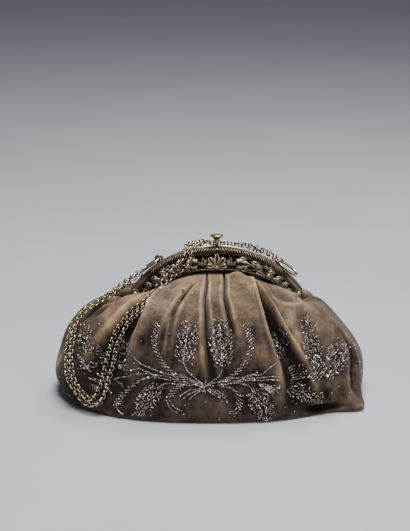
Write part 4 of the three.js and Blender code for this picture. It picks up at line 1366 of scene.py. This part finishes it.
# Sizes of the patterns in mm. The fibres of a pile are about a tenth of a millimetre, too fine to show, so
# the nap, the pile and the ribs under it are drawn as coarse as they need to be seen.
RUBBED_PATCH = 16.129
CRUSHED_PATCH = 25.0
NAP_STREAK = 1.5625
PILE_TUFT = 1.1111
CLOTH_RIB = 4.1667
PAINT_MOTTLE = 166.67

# Nap and ribs run up the cloth, so they are drawn out five times that way
DRAWN_OUT = (1.0, 1.0, 0.2)

# Velvet: how much the nap adds to the patches, the middle of both together, and the crushed patches' edges
NAP_WEIGHT = 0.4
PATTERN_MIDDLE = 0.7
CRUSHED_EDGES = (0.44, 0.7)

# Its colours from valley to crest, dark with painted shade and pale with painted light and sunned fading:
# sunned to gold, whose crest is a setting, and crushed to grey
GOLDEN = ((0.0, "#1b1613"), (0.2, "#372e28"), (0.45, "#604f41"), (0.7, "#8f765a"))
GREYED = ((0.0, "#1a1615"), (0.2, "#372e2a"), (0.45, "#5f5048"), (0.7, "#8b776c"), (1.0, "#baa699"))
PAINT = ((0.3, "#c3c5cd"), (0.7, "#c9cbd3"))

# Metals. Steel beads are ground to facets, which sparkle. The frame is cast in brass and gilt, and stays
# black in its hollows. The button is turned in brass and rubbed yellow by fingers. The chain is drawn wire,
# tarnished and with painted shade between its rings, and its loops are rubbed bare, with painted light on
# their tops. Each has its tarnished, middle and rubbed colour, its roughness where rubbed, and the size of a
# stain in mm and its strength.
METALS = {
    "cut_steel": ("#615751", "#b3a59c", "#f2e9e2", 0.28, 2.0, 0.3),
    "aged_gilt_brass": ("#0b0907", "#564c3f", "#c3b69d", 0.32, 3.125, 0.5),
    "worn_yellow_brass": ("#3a2a12", "#9a7c45", "#d8c08c", 0.28, 3.8462, 0.4),
    "aged_gilt_wire": ("#0a0806", "#6c5a44", "#ead7b9", 0.24, 2.381, 0.3),
    "rubbed_gilt_wire": ("#1a140d", "#86745a", "#ecd9b8", 0.26, 2.381, 0.08),
}
METAL_STOPS = (0.05, 0.5, 0.9)
TARNISH_ROUGHER = 0.3


def pattern_scale(size):
    """Scale of a noise whose patches are about `size` mm across: one patch to a unit of the noise."""
    return 1 / (size * MM)


def node(material, kind, feeds=(), **settings):
    """Adds a node: settings name properties or inputs, and feeds give inputs a socket to link or a value."""
    made = material.node_tree.nodes.new(kind)
    for key, value in settings.items():
        if hasattr(made, key):
            setattr(made, key, value)
        else:
            made.inputs[key.replace("_", " ")].default_value = value
    for source, target in feeds:
        if isinstance(source, bpy.types.NodeSocket):
            material.node_tree.links.new(source, made.inputs[target])
        else:
            made.inputs[target].default_value = source
    return made


def new_material(name, **finish):
    """An empty node material with its output, the shader that feeds it, and what its patterns read.

    finish sets the shader's own values. The patterns read Object coordinates and the wear attribute of the
    piece, which on the velvet holds its tone with painted light and shade.
    """
    material = bpy.data.materials.new(name)
    material.use_nodes = True
    material.node_tree.nodes.clear()
    shader = node(material, "ShaderNodeBsdfPrincipled", **finish)
    node(material, "ShaderNodeOutputMaterial", [(shader.outputs[0], "Surface")])
    place = node(material, "ShaderNodeTexCoord").outputs["Object"]
    wear_and_painted_light = node(material, "ShaderNodeAttribute", attribute_name="wear_and_painted_light").outputs["Fac"]
    return material, shader, place, wear_and_painted_light


def ramp(material, source, stops):
    """A colour ramp fed by a value: pairs of place and colour, in sRGB hex or as a setting holds it."""
    made = node(material, "ShaderNodeValToRGB", [(source, "Fac")])
    while len(made.color_ramp.elements) < len(stops):
        made.color_ramp.elements.new(0.5)
    for element, (place, colour) in zip(made.color_ramp.elements, stops):
        element.position = place
        element.color = linear(colour) if isinstance(colour, str) else colour
    return made.outputs["Color"]


def velvet_material(settings):
    """Worn silk velvet, woven with a cut pile: pale where it lies flat on crests, deep brown in the valleys.

    The tone comes with the cloth and carries painted light, paler high up and on crests, and painted
    shade, darker in valleys, between close beads and under the frame. Rubbed patches and fine nap break it
    up, crushed patches turn its gold to grey, and a sheen lights the pile where it is seen along its fibres.
    """
    material, shader, place, tone = new_material(
        "worn_silk_velvet",
        Roughness=0.92,
        Specular_IOR_Level=0.1,
        Sheen_Weight=settings.sheen,
        Sheen_Roughness=0.38,
        Sheen_Tint=settings.sheen_colour,
    )
    link = material.node_tree.links.new
    upwards = node(material, "ShaderNodeMapping", [(place, "Vector")], Scale=DRAWN_OUT).outputs[0]
    noises = {}
    for name, way, size, detail, rough in (
        ("patches", place, RUBBED_PATCH, 5.0, 0.58),
        ("nap", upwards, NAP_STREAK, 3.0, 0.5),
        ("crushed", place, CRUSHED_PATCH, 4.0, 0.5),
        ("pile", place, PILE_TUFT, 2.0, 0.5),
        ("ribs", upwards, CLOTH_RIB, 3.0, 0.5),
    ):
        scale = pattern_scale(size)
        noise = node(
            material, "ShaderNodeTexNoise", [(way, "Vector")], Scale=scale, Detail=detail, Roughness=rough
        )
        noises[name] = noise.outputs["Fac"]
    feeds = [(noises["nap"], 0), (NAP_WEIGHT, 1), (noises["patches"], 2)]
    mixed = node(material, "ShaderNodeMath", feeds, operation="MULTIPLY_ADD")
    feeds = [(mixed.outputs[0], 0), (PATTERN_MIDDLE, 1)]
    rubbed = node(material, "ShaderNodeMath", feeds, operation="SUBTRACT")
    feeds = [(rubbed.outputs[0], 0), (settings.mottle, 1), (tone, 2)]
    shade = node(material, "ShaderNodeMath", feeds, operation="MULTIPLY_ADD", use_clamp=True)
    sunned = (*GOLDEN, (1.0, settings.crest_colour))
    golden, greyed = (ramp(material, shade.outputs[0], stops) for stops in (sunned, GREYED))
    low, high = CRUSHED_EDGES
    share = node(material, "ShaderNodeMapRange", [(noises["crushed"], "Value")], From_Min=low, From_Max=high)
    feeds = [(share.outputs["Result"], "Factor"), (golden, 6), (greyed, 7)]
    colour = node(material, "ShaderNodeMix", feeds, data_type="RGBA")
    link(colour.outputs[2], shader.inputs["Base Color"])
    both = node(material, "ShaderNodeMath", [(noises["pile"], 0), (noises["ribs"], 1)], operation="ADD")
    bump = node(material, "ShaderNodeBump", [(both.outputs[0], "Height")], Strength=0.45, Distance=0.7 * MM)
    link(bump.outputs["Normal"], shader.inputs["Normal"])
    return material


def metal_material(name):
    """Aged metal: tarnish where wear is low, rubbed metal where it is high, and stains across both."""
    # Low wear is tarnish, and inside chain rings and under the loops also painted shade; high wear on the
    # loops' tops is also painted light
    dark, middle, bright, rough, size, stain = METALS[name]
    material, shader, place, wear_and_painted_light = new_material(name, Metallic=1.0)
    link = material.node_tree.links.new
    scale = pattern_scale(size)
    spots = node(material, "ShaderNodeTexNoise", [(place, "Vector")], Scale=scale, Detail=4.0, Roughness=0.6)
    feeds = [(spots.outputs["Fac"], 0), (stain, 1), (wear_and_painted_light, 2)]
    mixed = node(material, "ShaderNodeMath", feeds, operation="MULTIPLY_ADD")
    low, high = 0.5 * stain, 1.0 + 0.5 * stain
    shade = node(material, "ShaderNodeMapRange", [(mixed.outputs[0], "Value")], From_Min=low, From_Max=high)
    value = shade.outputs["Result"]
    colour = ramp(material, value, list(zip(METAL_STOPS, (dark, middle, bright))))
    link(colour, shader.inputs["Base Color"])
    tarnished = rough + TARNISH_ROUGHER
    polish = node(material, "ShaderNodeMapRange", [(value, "Value")], To_Min=tarnished, To_Max=rough)
    link(polish.outputs["Result"], shader.inputs["Roughness"])
    relief = [(spots.outputs["Fac"], "Height")]
    bump = node(material, "ShaderNodeBump", relief, Strength=0.2, Distance=0.12 * MM)
    link(bump.outputs["Normal"], shader.inputs["Normal"])
    return material


def floor_material():
    """Painted table top: matt, pale and even, with the faintest mottle of the paint."""
    material, shader, place, _ = new_material("matt_painted_table", Roughness=0.7)
    scale = pattern_scale(PAINT_MOTTLE)
    mottle = node(material, "ShaderNodeTexNoise", [(place, "Vector")], Scale=scale, Detail=3.0)
    material.node_tree.links.new(ramp(material, mottle.outputs["Fac"], PAINT), shader.inputs["Base Color"])
    return material


# Settings


class PouchSettings(bpy.types.PropertyGroup):
    """Sizes and looks of the velvet and its beads."""

    wall: FloatProperty(name="Wall", description="Velvet and its lining", default=2.0 * MM, unit="LENGTH")
    bead: FloatProperty(name="Bead", description="Radius of a steel bead", default=0.56 * MM, unit="LENGTH")
    flat_width: FloatProperty(name="Cut width", description="Velvet as cut", default=0.31, unit="LENGTH")
    flat_length: FloatProperty(name="Cut length", description="Velvet as cut", default=0.38, unit="LENGTH")
    mottle: FloatProperty(name="Mottle", description="How strongly patches show", default=1.0, min=0.0)
    sheen: FloatProperty(
        name="Sheen", description="Strength of the sheen", default=0.4, min=0.0, max=1.0, subtype="FACTOR"
    )
    sheen_colour: FloatVectorProperty(
        name="Sheen colour",
        description="Colour of the pile seen along its fibres",
        default=linear("#d3c3b0"),
        size=4,
        subtype="COLOR",
    )
    # The palest stop: sunned crests, with the painted light that pales high places and ridges
    crest_colour: FloatVectorProperty(
        name="Crest colour",
        description="Colour of the pile on sunned crests",
        default=linear("#c6a97f"),
        size=4,
        subtype="COLOR",
    )


class FrameSettings(bpy.types.PropertyGroup):
    """Sizes of the frame's ornament and wires."""

    stroke: FloatProperty(
        name="Stroke", description="Spacing of the rim's strokes", default=2.3 * MM, min=MM, unit="LENGTH"
    )
    rise: FloatProperty(name="Rise", description="Height of the strokes", default=0.8 * MM, unit="LENGTH")
    lug_wire: FloatProperty(name="Lugs", description="Radius of the wire", default=1.1 * MM, unit="LENGTH")
    loop_wire: FloatProperty(name="Loops", description="Radius of the wire", default=1.1 * MM, unit="LENGTH")


class ChainSettings(bpy.types.PropertyGroup):
    """Sizes of the chain's rings."""

    pitch: FloatProperty(
        name="Pitch", description="Step from ring to ring", default=2.9 * MM, min=MM, unit="LENGTH"
    )
    ring: FloatProperty(name="Ring", description="Radius to mid wire", default=2.05 * MM, unit="LENGTH")
    wire: FloatProperty(name="Wire", description="Radius of a ring's wire", default=0.54 * MM, unit="LENGTH")
    around: IntProperty(name="Around", description="Steps round a ring", default=12, min=8)


class StageSettings(bpy.types.PropertyGroup):
    """Where the camera stands and what it sees."""

    elevation: FloatProperty(
        name="Elevation",
        description="Camera height above the level",
        default=math.radians(VIEW_TILT),
        subtype="ANGLE",
    )
    distance: FloatProperty(
        name="Distance",
        description="From the camera to its target",
        default=VIEW_DISTANCE * MM,
        unit="LENGTH",
    )
    lens: FloatProperty(name="Lens", description="Focal length", default=100.0, unit="CAMERA")
    target: FloatVectorProperty(
        name="Target",
        description="What the camera looks at",
        default=[c * MM for c in VIEW_TARGET],
        subtype="TRANSLATION",
    )
    room_colour: FloatVectorProperty(
        name="Room colour",
        description="Colour of the light from all round",
        default=linear("#dfe3ee"),
        size=4,
        subtype="COLOR",
    )


SETTINGS = {
    "bag_pouch": PouchSettings,
    "bag_frame": FrameSettings,
    "bag_chain": ChainSettings,
    "bag_stage": StageSettings,
}

# Pin heads: radius, height over the rim's face, and wear
PIN_OFF = 0.3
PIN_HEAD = ((0, 1.3, 0.9), (0.9, 1.2, 0.9), (1.7, 0.8, 0.8), (2.2, 0.3, 0.6), (2.3, 0, 0.4), (1.2, 0, 0.3))

# Button: radius, height over the crown, and wear
BUTTON_PROFILE = (
    (0, 10.0, 0.9),
    (2.4, 9.9, 0.9),
    (4.3, 9.65, 0.95),
    (5.1, 9.3, 1.0),
    (5.4, 8.9, 1.0),
    (5.35, 8.5, 0.7),
    (4.9, 8.2, 0.4),
    (3.9, 7.6, 0.45),
    (3.0, 6.9, 0.55),
    (2.4, 6.0, 0.6),
    (2.0, 5.0, 0.6),
    (1.7, 3.8, 0.55),
    (1.5, 2.6, 0.45),
    (1.2, 1.8, 0.3),
    (1.2, -5.2, 0.2),
    (0, -5.2, 0.2),
)

# Table: half its side, and how far it lies under the cloth
TABLE_HALF = 4000.0
TABLE_DROP = 0.3

# Lights: place and width in m and power, the spot that they face, and the strength of the room's light
LIGHTS = {
    "key": ((0.0, -0.35, 1.3), 0.6, 20.0),
    "fill": ((0.7, -0.9, 0.6), 0.7, 3.0),
    "top": ((0.25, 0.4, 1.1), 0.6, 7.0),
}
LIT_SPOT = (0.0, 0.0, 0.06)
ROOM_LIGHT = 0.14
SENSOR_WIDTH = 36.0


# Operators


class BAG_OT_pouch(bpy.types.Operator):
    """Makes the gathered velvet pouch with its beads, in place of its plain solid."""

    bl_idname = "bag.pouch"
    bl_label = "Velvet pouch"

    def execute(self, context):
        settings = context.scene.bag_pouch
        turn, v = sewn_places()
        steel = metal_material("cut_steel")
        for name, at in (("front", turn), ("back", 180 - turn)):
            shape = bead_shape(at, v, settings.bead / MM)
            put_piece("steel_beads_" + name, shape, steel, BAG, rounded=False)
        shape = pouch_shape(settings.wall / MM, turn, v)
        pouch = put_piece("velvet_pouch", shape, velvet_material(settings), BAG, ["velvet_bag"])
        return {"FINISHED"}


class BAG_OT_frame(bpy.types.Operator):
    """Makes both halves of the pierced frame with the back half's lugs, and the hinge pins."""

    bl_idname = "bag.frame"
    bl_label = "Pierced frame"

    def execute(self, context):
        settings = context.scene.bag_frame
        gilt = metal_material("aged_gilt_brass")
        front = half_frame(settings.stroke / MM, settings.rise / MM)
        back = joined([mirrored_back(front), *lug_shapes(settings.lug_wire / MM)])
        put_piece("front_frame_work", stood(front), gilt, BAG, ["front_frame"])
        put_piece("back_frame_work", stood(back), gilt, BAG, ["back_frame"])
        radius, height, wear_and_painted_light = np.array(PIN_HEAD).T
        height = height + RIM_FRONT + PIN_OFF
        both = [np.append(radius, radius[::-1]), np.append(height, -height[::-1])]
        pin, faces, worn = turning(np.stack(both, -1), sides=20, wear_and_painted_light=np.append(wear_and_painted_light, wear_and_painted_light[::-1]))
        lying = pin[:, [0, 2, 1]] * np.array([1.0, -1.0, 1.0])
        spots = [arc_point(s * FRAME_SPAN, FRAME_RADIUS - HINGE_DEPTH_IN_RIM, 0.0) for s in (-1, 1)]
        pins = joined([(lying + spot, faces, worn) for spot in spots])
        put_piece("hinge_pins", stood(pins), gilt, BAG, ["hinge_pin_left", "hinge_pin_right"])
        return {"FINISHED"}


class BAG_OT_button(bpy.types.Operator):
    """Makes the turned brass push button on the rim."""

    bl_idname = "bag.button"
    bl_label = "Push button"

    def execute(self, context):
        brass = metal_material("worn_yellow_brass")
        profile = np.array(BUTTON_PROFILE)
        points, faces, worn = turning(profile[:, :2], sides=40, wear_and_painted_light=profile[:, 2])
        shape = points + np.array([0.0, BUTTON_Y, FRAME_RISE]), faces, worn
        put_piece("push_button_brass", stood(shape), brass, BUTTON, ["push_button"])
        return {"FINISHED"}


class BAG_OT_chain(bpy.types.Operator):
    """Makes the two loops and the two chains of interlocking rings in place of their tubes."""

    bl_idname = "bag.chain"
    bl_label = "Chain handle"

    def execute(self, context):
        settings = context.scene.bag_chain
        pitch, ring, thin_wire = (size / MM for size in (settings.pitch, settings.ring, settings.wire))
        wire = context.scene.bag_frame.loop_wire / MM
        gilt = metal_material("aged_gilt_wire")
        plain = metal_material("rubbed_gilt_wire")
        loops = joined([loop_shape(LUG_LEFT, wire), loop_shape(LUG_RIGHT, wire)])
        nodes = ["chain_loop_left", "chain_loop_right"]
        put_piece("chain_loops", stood(loops), plain, BAG, nodes)
        for name, side in (("inner", 1), ("outer", -1)):
            shape = chain_shape(side, pitch, ring, thin_wire, settings.around, sides=6)
            put_piece("chain_rings_" + name, shape, gilt, BAG, ["chain_strand_" + name])
        return {"FINISHED"}


class BAG_OT_stage(bpy.types.Operator):
    """Makes the pale table, the soft lights and the camera."""

    bl_idname = "bag.stage"
    bl_label = "Stage"

    def execute(self, context):
        settings = context.scene.bag_stage
        corners = ((-1, -1), (1, -1), (1, 1), (-1, 1))
        points = np.array([(x * TABLE_HALF, y * TABLE_HALF, -TABLE_DROP) for x, y in corners])
        shape = points, np.array([[0, 1, 2, 3]]), np.zeros(4)
        floor = put_piece("table", shape, floor_material(), None)
        tilt = settings.elevation
        back = Vector((0.0, -math.cos(tilt), math.sin(tilt)))
        camera = bpy.data.cameras.new("camera")
        camera.lens = settings.lens
        camera.sensor_width = SENSOR_WIDTH
        seen_from = Vector(settings.target) + back * settings.distance
        context.scene.camera = self.aimed(context, "camera", camera, seen_from, -back)
        for name, (place, wide, power) in LIGHTS.items():
            light = bpy.data.lights.new(name, "AREA")
            light.shape = "DISK"
            light.size = wide
            light.energy = power
            self.aimed(context, name, light, place, Vector(LIT_SPOT) - Vector(place))
        world = bpy.data.worlds.new("studio")
        world.use_nodes = True
        room = world.node_tree.nodes["Background"].inputs
        room["Color"].default_value = settings.room_colour
        room["Strength"].default_value = ROOM_LIGHT
        context.scene.world = world
        return {"FINISHED"}

    def aimed(self, context, name, data, place, way):
        """A camera or light put at a place and turned to look along a way."""
        holder = bpy.data.objects.new(name, data)
        holder.location = place
        holder.rotation_euler = way.to_track_quat("-Z", "Y").to_euler()
        context.scene.collection.objects.link(holder)
        return holder


class BAG_PT_panel(bpy.types.Panel):
    """Lists the handbag's pieces in the sidebar."""

    bl_idname = "BAG_PT_panel"
    bl_label = "Velvet handbag"
    bl_space_type = "VIEW_3D"
    bl_region_type = "UI"
    bl_category = "Handbag"

    def draw(self, context):
        for made in OPERATORS:
            self.layout.operator(made.bl_idname)


OPERATORS = (BAG_OT_frame, BAG_OT_button, BAG_OT_chain, BAG_OT_pouch, BAG_OT_stage)
CLASSES = (*SETTINGS.values(), *OPERATORS, BAG_PT_panel)


def register():
    """Registers every class and hangs the settings on the scene."""
    for made in CLASSES:
        bpy.utils.register_class(made)
    for name, group in SETTINGS.items():
        setattr(bpy.types.Scene, name, PointerProperty(type=group))


def unregister():
    """Takes the settings off the scene and the classes out again."""
    for name in SETTINGS:
        delattr(bpy.types.Scene, name)
    for made in reversed(CLASSES):
        bpy.utils.unregister_class(made)


def main():
    register()
    bpy.ops.bag.frame()
    bpy.ops.bag.button()
    bpy.ops.bag.chain()
    bpy.ops.bag.pouch()
    bpy.ops.bag.stage()


if __name__ == "__main__":
    main()
